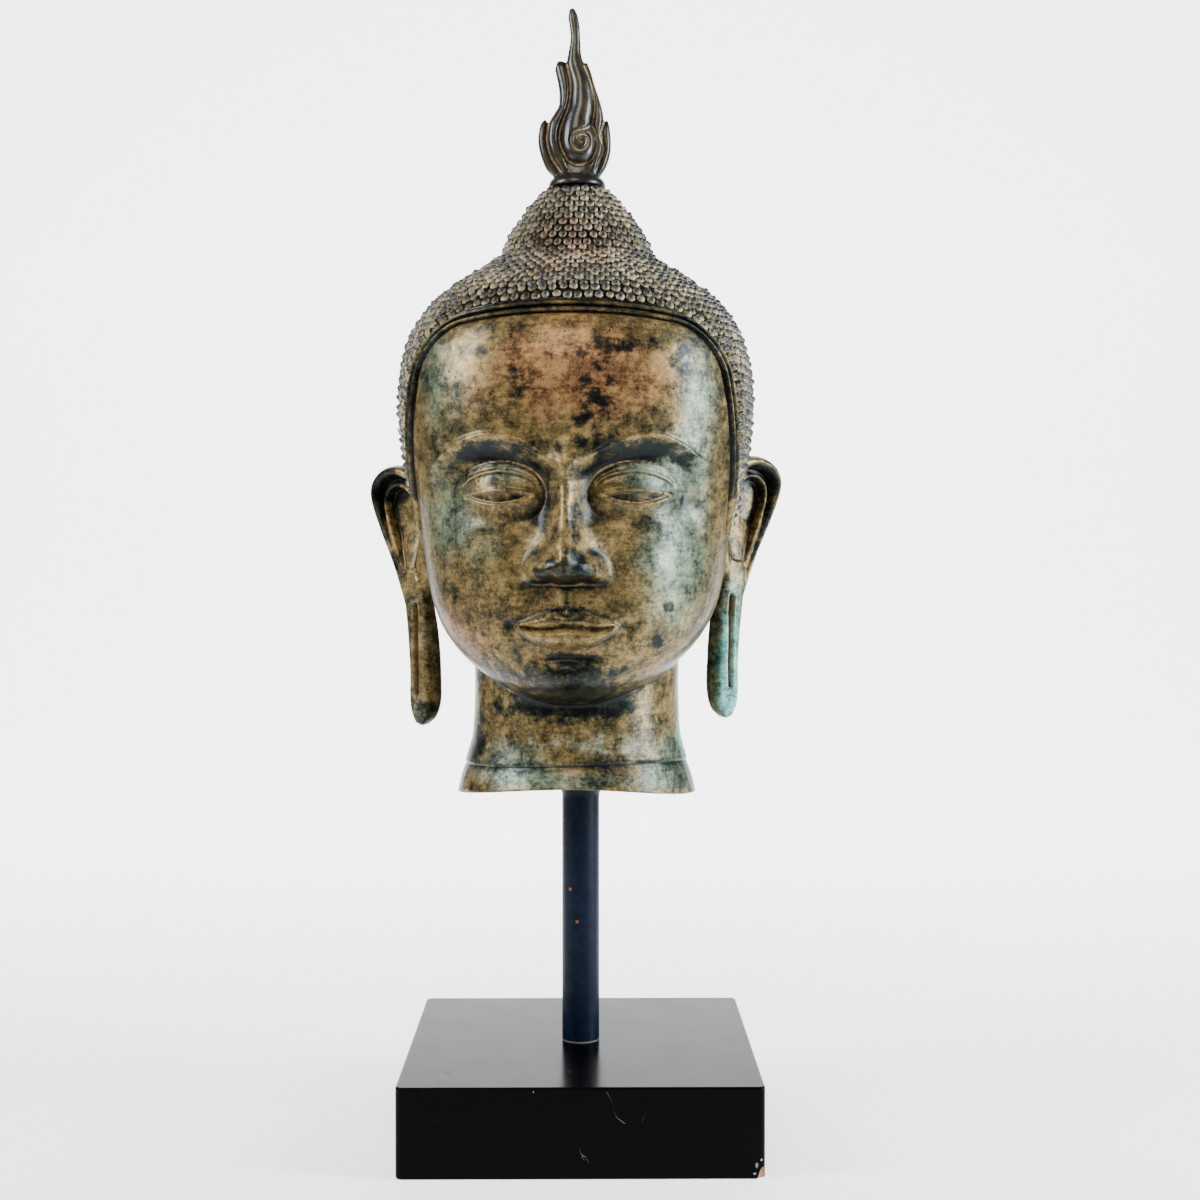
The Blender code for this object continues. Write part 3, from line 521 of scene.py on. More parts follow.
def make_curls(name, spots, finish):
    """Every curl of these places, joined in one piece."""
    draw = np.random.default_rng(7)
    angle, t = spots.T
    nudge = 0.004
    foot = head_points(angle, t)
    across = head_points(angle + nudge, t) - head_points(angle - nudge, t)
    upward = head_points(angle, t + nudge) - head_points(angle, t - nudge)
    across /= np.linalg.norm(across, axis=1)[:, None]
    out = np.cross(across, upward)
    out /= np.linalg.norm(out, axis=1)[:, None]
    up = np.cross(out, across)
    shape, faces, height = curl_shape()
    turn = draw.uniform(-0.7, 0.7, len(foot)) + 2.2
    size = CURL_PITCH * 0.5 * draw.uniform(0.88, 1.12, len(foot))
    tall = CURL_HEIGHT * draw.uniform(0.75, 1.2, len(foot))
    foot = foot + draw.uniform(-0.02, 0.02, foot.shape)
    x = shape[:, 0] * np.cos(turn)[:, None] - shape[:, 1] * np.sin(turn)[:, None]
    y = shape[:, 0] * np.sin(turn)[:, None] + shape[:, 1] * np.cos(turn)[:, None]
    points = (foot[:, None] + (x * size[:, None])[..., None] * across[:, None]
              + (y * size[:, None])[..., None] * up[:, None]
              + (shape[:, 2] * tall[:, None])[..., None] * out[:, None])
    points = moved(points.reshape(-1, 3) * FINGER, head_matrix())
    every = [tuple(n * len(shape) + i for i in face) for n in range(len(foot)) for face in faces]
    curls = new_piece(name, points, every, finish, "bronze_head")
    mesh = curls.data
    mesh.shade_smooth()
    shades = draw.uniform(0.75, 1.1, len(foot))
    # tip rises up each curl; the material paints the feet near black as shade
    paint(mesh, "tip", (height * shades[:, None]).ravel())
    red = bump(np.degrees(angle), t - 14.4, 38, 1.5)
    paint(mesh, "red", np.repeat(red, len(shape)))
    return curls


def limb(stations, place, sides=24, square=1.0, ends=0.6):
    """A closed, tapering form along stations of (sideways, up, half-width, half-depth, forward).

    Its section is an ellipse where square is 1, and closer to a rectangle where square is less.
    Stations of four values lie in the middle of the depth.
    """
    stations = np.array([(*station, 0)[:5] for station in stations], float)
    along = np.linspace(0, len(stations) - 1, 8 * len(stations))
    knots = np.arange(len(stations))
    path = np.stack([smooth_curve(along, np.stack([knots, stations[:, i]], 1)) for i in range(5)], 1)
    run = np.gradient(path[:, :2], axis=0)
    run /= np.linalg.norm(run, axis=1)[:, None]
    across = np.stack([run[:, 1], -run[:, 0]], 1)
    turn = np.linspace(0, 2 * np.pi, sides, endpoint=False)
    section_x = np.sign(np.cos(turn)) * np.abs(np.cos(turn)) ** square
    section_y = np.sign(np.sin(turn)) * np.abs(np.sin(turn)) ** square
    rings = []
    for (x, z, wide, deep, forward), (nx, nz) in zip(path, across):
        side = wide * section_x
        rings.append(np.stack([x + nx * side, z + nz * side, forward + deep * section_y], 1))
    for end, way in ((0, -1), (-1, 1)):
        cap = rings[end].mean(0) + np.append(run[end], 0) * way * ends * path[end, 2]
        rings.insert(0 if way < 0 else len(rings), np.tile(cap, (sides, 1)))
    return closed_form(place(np.concatenate(rings)), tube_faces(len(rings), sides))


def closed_form(points, faces):
    made = bmesh.new()
    verts = [made.verts.new(p) for p in points]
    for face in faces:
        made.faces.new([verts[i] for i in face])
    bmesh.ops.remove_doubles(made, verts=made.verts, dist=1e-7)
    bmesh.ops.recalc_face_normals(made, faces=made.faces)
    return made


def slab(outline, low, high, place):
    """A flat closed form from an outline of (sideways, up)."""
    outline = np.array(outline)
    ring = np.concatenate([np.insert(outline, 2, low, 1), np.insert(outline, 2, high, 1)])
    n = len(outline)
    faces = [tuple(range(n)), tuple(range(n, 2 * n))[::-1]]
    faces += [(i, (i + 1) % n, n + (i + 1) % n, n + i) for i in range(n)]
    return closed_form(place(ring), faces)


def fused(name, forms, voxel, rounds, finish, *nodes):
    """One closed piece from several forms that overlap, with the creases between them softened."""
    piece = new_piece(name, np.zeros((0, 3)), [], finish, *nodes)
    whole = bmesh.new()
    for form in forms:
        part = bpy.data.meshes.new("form")
        form.to_mesh(part)
        form.free()
        whole.from_mesh(part)
        bpy.data.meshes.remove(part)
    whole.to_mesh(piece.data)
    whole.free()
    remesh = piece.modifiers.new("Fuse", "REMESH")
    remesh.mode = "VOXEL"
    remesh.voxel_size = voxel
    relax = piece.modifiers.new("Relax", "SMOOTH")
    relax.factor = 0.5
    relax.iterations = rounds
    apply_modifiers(piece)
    piece.data.materials.clear()
    piece.data.materials.append(finish)
    piece.data.shade_smooth()
    return piece


def engrave(mesh, places, route, width, depth, push):
    """Pushes points near a route in from the surface. places are the points as (sideways, up)."""
    route = np.array(route, float)
    away = np.full(len(places), np.inf)
    for start, end in zip(route, route[1:]):
        span = end - start
        share = np.clip(((places - start) @ span) / (span @ span), 0, 1)
        away = np.minimum(away, np.linalg.norm(places - start - share[:, None] * span, axis=1))
    cut = np.exp(-((away / width) ** 2))
    move_points(mesh, points_of(mesh) + cut[:, None] * depth * push)
    return cut


EAR_ROOT = (4.72, -0.10)
EAR_FLARE = math.radians(52)
EAR_HIGHER = 2.6 * MM  # the right ear is cast this much higher than the middle, and the left one lower
LEFT_EAR_OUT = 4.7 * MM  # the left ear stands this much further out
EAR_VOXEL = 0.55 * MM
HELIX = (
    (0.05, 6.80, .15, .36), (0.25, 7.25, .17, .38), (0.62, 7.54, .19, .40), (1.20, 7.74, .20, .42),
    (1.76, 7.71, .20, .42), (2.17, 7.46, .20, .42), (2.34, 7.05, .185, .42), (2.18, 6.45, .17, .40),
    (1.79, 5.62, .155, .38), (1.40, 4.86, .15, .35), (1.12, 4.15, .15, .30), (0.88, 3.40, .13, .24),
    (0.76, 2.90, .10, .18),
)
ANTIHELIX = (
    (0.30, 6.45, .09, .24, -.06), (0.62, 6.98, .10, .26), (1.08, 7.26, .10, .27), (1.50, 7.27, .10, .28),
    (1.80, 7.02, .10, .28), (1.84, 6.55, .10, .28), (1.58, 5.75, .10, .29), (1.24, 4.98, .10, .29),
    (1.00, 4.40, .12, .26), (0.84, 4.00, .15, .22), (0.70, 3.60, .20, .16),
)
BOWL = (  # its floor lies deep at the top and comes up to the lobe
    (0.70, 7.30, .30, .20, -.44), (1.00, 6.80, .80, .22, -.46), (1.00, 6.10, .84, .24, -.36),
    (0.86, 5.40, .72, .24, -.20), (0.76, 4.80, .56, .24, -.08), (0.70, 4.20, .42, .24, .02),
    (0.66, 3.50, .36, .24, .04),
)
BAND = (  # between the bowl and the cheek
    (0.02, 7.00, .24, .30), (0.02, 6.20, .26, .32), (0.06, 5.40, .32, .33), (0.18, 4.60, .36, .30),
    (0.34, 3.90, .38, .24), (0.42, 3.20, .38, .18),
)
LOBE = (
    (0.66, 4.50, .36, .28, -.02), (0.58, 4.00, .46, .33, -.02), (0.50, 3.30, .47, .32, -.05),
    (0.41, 2.30, .44, .40, -.12), (0.35, 1.20, .42, .43, -.15), (0.35, 0.30, .43, .42, -.15),
    (0.37, -0.18, .37, .34, -.12), (0.42, -0.50, .18, .20, -.06),
)
EAR_SHELL = (
    (-0.3, 6.9), (0.45, 7.45), (1.15, 7.75), (1.85, 7.72), (2.28, 7.35), (2.34, 6.85), (2.12, 6.10),
    (1.78, 5.40), (1.43, 4.70), (1.13, 4.00), (0.80, 3.20), (0.15, 3.30), (-0.3, 4.0),
)
RIM_PATH = HELIX[:5:-1]  # the rim behind, from the lobe up
LOBE_SLIT = ((0.42, 3.35), (0.37, 2.8), (0.36, 2.0), (0.34, 1.2), (0.36, 0.50))


def make_ear(name, side, bronze):
    """The shell, its rolled rim, the bowl inside it and the long slit lobe. side is 1 right, -1 left."""
    sine, cosine = math.sin(EAR_FLARE), math.cos(EAR_FLARE)
    aside = -LEFT_EAR_OUT if side < 0 else 0
    matrix = head_matrix() @ Matrix.Translation((aside, 0, side * EAR_HIGHER))

    def place(p):
        x = EAR_ROOT[0] + p[:, 0] * sine + p[:, 2] * cosine
        y = EAR_ROOT[1] + p[:, 0] * cosine - p[:, 2] * sine
        return moved(np.stack([side * x, y, p[:, 1]], 1) * FINGER, matrix)

    def back(p):
        return place(p + [0, 0, -0.30])

    forms = [limb(form, back) for form in (HELIX, ANTIHELIX, BOWL, BAND)]
    forms.append(limb(LOBE, back, square=0.45))
    forms.append(slab(EAR_SHELL, -0.66, -0.40, place))
    ear = fused(name, forms, EAR_VOXEL, 7, bronze, "bronze_head")
    mesh = ear.data
    flat = in_fingers(points_of(mesh), matrix.translation, matrix)
    x, y = side * flat[:, 0] - EAR_ROOT[0], flat[:, 1] - EAR_ROOT[1]
    own = np.stack([x * sine + y * cosine, flat[:, 2]], 1)
    outward = x * cosine - y * sine
    push = (place(np.array([[0, 0, -1.0]])) - place(np.array([[0, 0, 0.0]])))[0]
    facing = step(outward, -0.30, -0.10)[:, None]
    engrave(mesh, own, LOBE_SLIT, 0.19, -0.06, push * facing)
    cut = engrave(mesh, own, LOBE_SLIT, 0.085, 0.24, push * facing)
    engrave(mesh, own, LOBE_SLIT[:2], 0.06, 0.16, push * facing)
    roughen(mesh, (0.12, 6, 3), (0.06, 2.5, 8))
    paint_patina(mesh)
    paint(mesh, "slit", cut * facing[:, 0])
    [groove] = hollows(mesh, 12)
    in_groove = step(groove, 0.08, 0.35)
    ends_low = bump(own[:, 0] - 1.25, own[:, 1] - 4.9, 0.5, 0.9)
    paint(mesh, "residue", in_groove * (0.10 + 0.80 * ends_low))
    # Painted shade: the lobe's inner side and the grooves, away from their lower ends
    inner_side = step(-outward, 0.45, 0.75) * step(3.2 - own[:, 1], 0, 0.6)
    paint(mesh, "shade", np.maximum(inner_side, 0.6 * in_groove * (1 - ends_low)))
    # The dark at the ear's top is painted shade in the top of the bowl and dark patina on the helix; along
    # the rim behind and at the left lobe's foot it is dark patina
    rim = np.interp(own[:, 1], [spot[1] for spot in RIM_PATH], [spot[0] for spot in RIM_PATH])
    rim_dark = 0.75 * bump(own[:, 0] - rim, 0, 0.30, 1) * step(own[:, 1], 3.6, 4.8)
    low_dark = 0.7 * step(1.0 - own[:, 1], 0, 1.2) if side < 0 else 0
    paint(mesh, "dark", bump(own[:, 0] - 1.7, own[:, 1] - 7.3, 1.0, 0.65) + rim_dark + low_dark)
    paint(mesh, "green", (0.8 if side > 0 else 0.45) * step(4.8 - own[:, 1], 0, 1.5))
    return ear


# Flame, in hundredths of its own height above its seat
COLLAR = (
    (0, 0), (15.3, 0), (15.9, 0.6), (15.8, 1.8), (15.3, 3.2), (14.3, 4.6), (12.7, 5.9), (11.9, 6.5), (0, 6.5),
)
TONGUES = (  # (sideways, up, half-width, half-depth) along each tongue, from its foot to its tip
    ((-10.0, 6.4, 2.0, 3.3), (-14.2, 11.1, 2.8, 3.9), (-16.5, 15.8, 2.8, 4.3), (-18.1, 20.5, 2.7, 4.3),
     (-19.0, 25.2, 2.6, 4.1), (-19.0, 29.9, 2.4, 3.8), (-18.2, 34.6, 2.2, 2.8), (-17.7, 37.6, 0.8, 0.9)),
    ((-5.7, 8.3, 2.8, 4.7), (-9.6, 15.8, 4.1, 6.6), (-11.8, 20.5, 3.9, 6.8), (-13.0, 25.2, 3.8, 6.6),
     (-12.9, 29.9, 3.8, 6.4), (-12.0, 34.6, 4.0, 6.1), (-9.8, 39.2, 3.5, 5.9), (-7.4, 43.9, 3.2, 5.6),
     (-6.6, 48.6, 3.3, 5.2), (-6.4, 53.3, 3.6, 4.7), (-6.9, 58.0, 3.7, 4.3), (-7.8, 62.7, 3.8, 3.8),
     (-9.0, 67.4, 3.4, 3.0), (-10.1, 69.5, 1.5, 1.3)),
    ((1.9, 12.0, 2.3, 4.7), (1.7, 14.4, 6.6, 7.5), (1.3, 18.6, 9.4, 9.4), (0.7, 25.2, 10.6, 9.9),
     (0.2, 31.7, 9.6, 9.4), (0.8, 37.4, 8.3, 8.7), (2.4, 43.9, 7.4, 7.9), (2.6, 50.5, 6.7, 6.9),
     (2.1, 57.1, 5.8, 6.2), (0.7, 62.7, 5.4, 5.4), (-1.0, 68.4, 4.9, 4.7), (-1.3, 74.0, 3.7, 3.8),
     (-0.9, 81.5, 2.8, 3.0), (-1.2, 88.1, 2.8, 2.7), (-2.2, 94.6, 2.7, 2.4), (-2.8, 98.7, 1.5, 1.4)),
    ((7.9, 8.3, 2.8, 4.7), (10.6, 15.8, 2.8, 6.2), (12.2, 20.5, 2.5, 6.2), (12.1, 25.2, 2.4, 6.0),
     (11.5, 29.9, 2.6, 5.8), (11.5, 34.6, 3.2, 5.6), (11.8, 39.2, 3.0, 5.4), (11.4, 43.9, 2.5, 5.1),
     (10.2, 48.6, 2.3, 4.5), (8.6, 53.3, 2.3, 4.1), (7.1, 58.0, 2.3, 3.6), (5.9, 62.7, 2.2, 3.0),
     (5.1, 67.4, 1.3, 2.3), (5.1, 69.1, 0.8, 0.9)),
    ((10.9, 6.4, 1.5, 3.3), (13.2, 11.1, 2.4, 3.9), (15.0, 15.8, 2.6, 4.3), (16.3, 20.5, 2.4, 4.3),
     (16.2, 25.2, 2.7, 4.1), (15.7, 29.9, 2.9, 3.8), (16.2, 34.6, 1.8, 2.8), (16.5, 37.2, 0.7, 0.9)),
    ((1.3, 2.6, 9.4, 5.6), (1.3, 8.3, 12.2, 5.6), (-0.6, 15.8, 16.0, 3.9), (-0.6, 25.2, 16.9, 3.2),
     (0.4, 34.6, 14.1, 2.8), (1.5, 43.9, 10.3, 2.6), (-1.0, 58.0, 7.5, 2.3), (-2.0, 65.5, 6.1, 1.9)),
)
FLAME_HEIGHT = 106.5 * MM
FLAME_VOXEL = 0.5 * MM
GROOVES = (  # round the middle tongue and in to its volute, then between the other tongues
    ((-5.7, 67.4), (-3.9, 59.0), (-3.6, 54.7), (-5.0, 43.9), (-8.2, 35.5), (-10.0, 27.0), (-7.8, 19.5),
     (-3.9, 13.9), (1.7, 12.3), (7.4, 14.5), (10.9, 20.8), (10.9, 28.0), (8.1, 34.9)),
    ((4.2, 66.5), (6.7, 60.5), (8.8, 53.3), (9.9, 43.5), (8.4, 35.5)),
    ((-15.5, 36.4), (-16.6, 25.2), (-14.6, 17.2), (-9.6, 9.2)),
    ((15.1, 36.4), (14.5, 34.3), (12.7, 28.0), (14.5, 20.8), (11.6, 13.0)),
)
VOLUTE = (
    (9.4, 37.5), (7.4, 33.6), (4.6, 31.4), (1.0, 30.4), (-2.2, 28.6), (-3.4, 25.2), (-2.2, 21.4),
    (1.2, 19.4), (4.9, 20.6), (6.6, 24.0), (5.6, 27.4), (2.6, 28.0), (0.7, 26.0), (1.6, 23.9),
)


def smooth_route(route):
    """A route with its corners rounded, as many short steps."""
    route = np.array(route, float)
    walk = walked(route)
    fine = np.linspace(0, walk[-1], 8 * len(route))
    return np.stack([smooth_curve(fine, np.stack([walk, route[:, i]], 1)) for i in (0, 1)], 1)


def make_flame(dark_bronze):
    """The flame's tongues and the ring they stand in, with the volute cut into both faces."""
    unit = FLAME_HEIGHT / 100
    seat = head_matrix() @ Vector((0, CROWN_SHIFT[-1][1] * FINGER, SEAT * FINGER))
    seat.z = FLAME_LOW.z

    def place(p):
        return np.stack([p[:, 0], p[:, 2], p[:, 1]], 1) * unit + np.array(seat)

    sides = 72
    turn = np.linspace(0, 2 * np.pi, sides, endpoint=False)
    ring = np.concatenate([[(r * math.cos(a), z, r * math.sin(a)) for a in turn] for r, z in COLLAR])
    forms = [limb(stations, place) for stations in TONGUES]
    forms.append(closed_form(place(ring), tube_faces(len(COLLAR), sides)))
    flame = fused("flame", forms, FLAME_VOXEL, 3, dark_bronze, "flame_finial")
    mesh = flame.data
    flat = (points_of(mesh) - np.array(seat)) / unit
    own = np.stack([flat[:, 0], flat[:, 2]], 1)
    push = -np.sign(flat[:, 1:2]) * np.array([[0, 1, 0]]) * unit
    off_edge = step(np.abs(flat[:, 1:2]), 1.5, 4)
    cut = engrave(mesh, own, smooth_route(VOLUTE), 0.75, 2.2, push * off_edge)
    for groove in GROOVES:
        cut = np.maximum(cut, engrave(mesh, own, smooth_route(groove), 0.70, 1.3, push * off_edge))
    fine, broad = hollows(mesh, 6, 40)
    in_groove = step(cut, 0.25, 0.9) * step(fine, -0.05, 0.10)
    paint(mesh, "residue", 0.35 * step(fine, 0.10, 0.26) + 0.9 * in_groove)
    paint(mesh, "hollow", step(broad, 0.1, 0.9))
    paint(mesh, "rubbed", step(-broad, 0.1, 0.8))
    return flame


def make_rod(paint_finish):
    """The painted rod, with its bead of weld under the neck and the ring of dust at its foot."""
    radius, gap, weld = 11 * MM, 0.3 * MM, 7 * MM
    bead = ROD_HIGH.x - radius
    top = CHIN_Z + SOCKET_MOUTH * FINGER - gap
    foot = BLOCK_HIGH.z
    profile = [(0, ROD_LOW.z), (radius, ROD_LOW.z), (radius, foot), (radius, foot + 1 * MM)]
    profile += [(radius, foot + share * (top - foot)) for share in np.linspace(0.05, 0.95, 12)]
    profile += [(radius + bead * s**1.8, top - weld * (1 - s)) for s in np.linspace(0, 1, 9)]
    profile += [(radius, top), (radius, ROD_HIGH.z), (0, ROD_HIGH.z)]
    sides = 96
    turn = np.linspace(0, 2 * np.pi, sides, endpoint=False)
    points = []
    for r, z in profile:
        wave = 1 + 0.012 * np.sin(5 * turn + 1) * (abs(z - top) < 6.5 * MM)
        points.append(np.stack([r * wave * np.cos(turn), r * wave * np.sin(turn), np.full(sides, z)], 1))
    faces = tube_faces(len(profile), sides)
    rod = new_piece("painted_rod", np.concatenate(points), faces, paint_finish, "steel_rod")
    tidy_faces(rod.data)
    paint(rod.data, "dust", 0.8 * step(foot + 1 * MM - points_of(rod.data)[:, 2], 0, 0.9 * MM))
    rod.data.shade_smooth()
    rod.data.set_sharp_from_angle(angle=math.radians(40))
    return rod


def tidy_faces(mesh):
    """Merges the points that lie on one another, and faces everything outwards."""
    made = bmesh.new()
    made.from_mesh(mesh)
    bmesh.ops.remove_doubles(made, verts=made.verts, dist=1e-6)
    bmesh.ops.recalc_face_normals(made, faces=made.faces)
    made.to_mesh(mesh)
    made.free()


CHIPS = (  # (middle, half-sizes) in millimetres, and what shows there
    ((99.4, -99.6, 0.6), (4.0, 3.4, 6.0), "wood"), ((95.2, -99.9, 7.6), (0.8, 0.6, 1.5), "worn"),
    ((94.2, -99.9, 3.2), (0.9, 0.5, 0.7), "worn"), ((98.2, -99.9, 10.6), (0.9, 0.6, 1.0), "worn"),
    ((-74.0, -72.0, 50.3), (3.2, 2.3, 0.9), "wood"), ((-79.0, -88.0, 50.1), (0.6, 0.6, 0.4), "worn"),
)
SCRATCHES = (  # (across, up) along each scratch on the front face, and its half-width, in millimetres
    (((13.8, 48.0), (16.0, 44.5), (17.3, 41.0), (18.2, 37.0), (19.4, 34.3), (22.0, 32.0), (24.0, 30.5)),
     0.14),
    (((-0.6, 16.8), (1.0, 13.6), (2.4, 12.6), (4.7, 9.3)), 0.16), (((0.4, 13.0), (2.0, 11.0)), 0.12),
    (((35.6, 38.5), (34.8, 35.2), (33.0, 31.0)), 0.09),
)


def cut_away(target, points, faces, finish):
    """Takes a small closed form away from a piece; the fresh surface gets this finish."""
    mesh = bpy.data.meshes.new("cut")
    mesh.from_pydata([tuple(p) for p in points], [], faces)
    tidy_faces(mesh)
    mesh.materials.append(finish)
    helper = bpy.data.objects.new("cut", mesh)
    bpy.context.scene.collection.objects.link(helper)
    cut = target.modifiers.new("cut", "BOOLEAN")
    cut.operation = "DIFFERENCE"
    cut.solver = "EXACT"
    cut.material_mode = "TRANSFER"
    cut.object = helper
    apply_modifiers(target)
    bpy.data.objects.remove(helper)


def rough_lump(centre, half):
    """A small broken-looking lump of these half-sizes about this centre."""
    made = bmesh.new()
    bmesh.ops.create_icosphere(made, subdivisions=3, radius=1)
    ball = np.array([v.co for v in made.verts])
    faces = [[v.index for v in face.verts] for face in made.faces]
    made.free()
    uneven = 1 + 0.25 * lumpy(ball, 0.7, centre[0])
    return (np.array(centre) + ball * uneven[:, None] * np.array(half)) * MM, faces


def scratch(route, radius):
    """A thin tube along a route of (across, up) on the block's front face."""
    route, sides = smooth_route(route), 6
    points = [(x, BLOCK_LOW.y / MM + radius * math.cos(a), z + radius * math.sin(a))
              for x, z in route for a in np.linspace(0, 2 * np.pi, sides, endpoint=False)]
    caps = [tuple(range(sides)), tuple(range(len(points) - sides, len(points)))]
    return np.array(points) * MM, caps + tube_faces(len(route), sides)


def make_block(lacquer, wood, worn):
    """The lacquered block, with eased edges, its broken corner, its chips and its fine scratches."""
    size, corner, edge = BLOCK_HIGH - BLOCK_LOW, 4 * MM, 1.2 * MM
    made = bmesh.new()
    bmesh.ops.create_cube(made, size=1, matrix=Matrix.Diagonal((*size, 1)))
    upright = [e for e in made.edges if abs(e.verts[0].co.z - e.verts[1].co.z) > size.z / 2]
    bmesh.ops.bevel(made, geom=upright, offset=corner, segments=10, profile=0.5, affect="EDGES")
    level = [e for e in made.edges if abs(e.verts[0].co.z - e.verts[1].co.z) < size.z / 2]
    bmesh.ops.bevel(made, geom=level, offset=edge, segments=5, profile=0.5, affect="EDGES")
    bmesh.ops.translate(made, verts=made.verts, vec=(BLOCK_LOW + BLOCK_HIGH) / 2)
    block = new_piece("lacquered_block", np.zeros((0, 3)), [], lacquer, "wooden_block")
    made.to_mesh(block.data)
    made.free()
    for centre, half, finish in CHIPS:
        cut_away(block, *rough_lump(centre, half), wood if finish == "wood" else worn)
    for route, radius in SCRATCHES:
        cut_away(block, *scratch(route, radius), worn)
    block.data.shade_smooth()
    block.data.set_sharp_from_angle(angle=math.radians(50))
    flatten = block.modifiers.new("Keep flats flat", "WEIGHTED_NORMAL")
    flatten.weight = 100
    flatten.keep_sharp = True
    apply_modifiers(block)
    return block


BLEND = {"out": 2, "data_type": "RGBA"}  # a mix node that blends two colours


def linear(hex_colour):
    """An sRGB hex colour as the linear values that a shader takes."""
    parts = [int(hex_colour[i:i + 2], 16) / 255 for i in (1, 3, 5)]
    return (*[p / 12.92 if p <= 0.04045 else ((p + 0.055) / 1.055) ** 2.4 for p in parts], 1)


def per(size):
    """The scale of a noise whose lumps are this many millimetres wide."""
    return 1000 / size


def feed(tree, node, links):
    """Gives each of these sockets of a node another node's output, a plain value or a hex colour."""
    for socket, value in links.items():
        if isinstance(value, bpy.types.NodeSocket):
            tree.links.new(value, node.inputs[socket])
        else:
            node.inputs[socket].default_value = linear(value) if isinstance(value, str) else value


def add_node(tree, kind, links=None, out=0, stops=None, **settings):
    """Adds a node with its settings, what its sockets take and its colour stops, and gives one output."""
    made = tree.nodes.new("ShaderNode" + kind)
    for name, value in settings.items():
        setattr(made, name, value)
    feed(tree, made, links or {})
    if stops:
        places, colours = stops
        made.color_ramp.interpolation = "EASE"
        for place in places[1:-1]:
            made.color_ramp.elements.new(place)
        for element, place, colour in zip(made.color_ramp.elements, places, colours.split()):
            element.position, element.color = place, linear(colour)
    return made.outputs[out]


def new_material(name):
    """A material, with what adds a node to it and what feeds its shader."""
    made = bpy.data.materials.new(name)
    made.use_nodes = True
    tree = made.node_tree
    return made, partial(add_node, tree), partial(feed, tree, tree.nodes["Principled BSDF"])


def blurred(add, place, name, size, low=0.25, high=0.85, spread=0.9):
    """A mask with soft, broken edges from a painted one, with lumps of this size in mm."""
    soft = add("Attribute", out="Fac", attribute_name=name)
    lumps = add("TexNoise", {"Vector": place, "Scale": per(size), "Detail": 7, "Roughness": 0.65})
    off = add("Math", {0: lumps, 1: 0.5}, operation="SUBTRACT")
    total = add("Math", {0: off, 1: spread, 2: soft}, operation="MULTIPLY_ADD")
    return add("MapRange", {0: total, 1: low, 2: high}, interpolation_type="SMOOTHSTEP")


def summed(add, *parts):
    """Adds up value times weight; the first part is what it starts from."""
    total = parts[0]
    for value, weight in parts[1:]:
        total = add("Math", {0: value, 1: weight, 2: total}, operation="MULTIPLY_ADD")
    return total


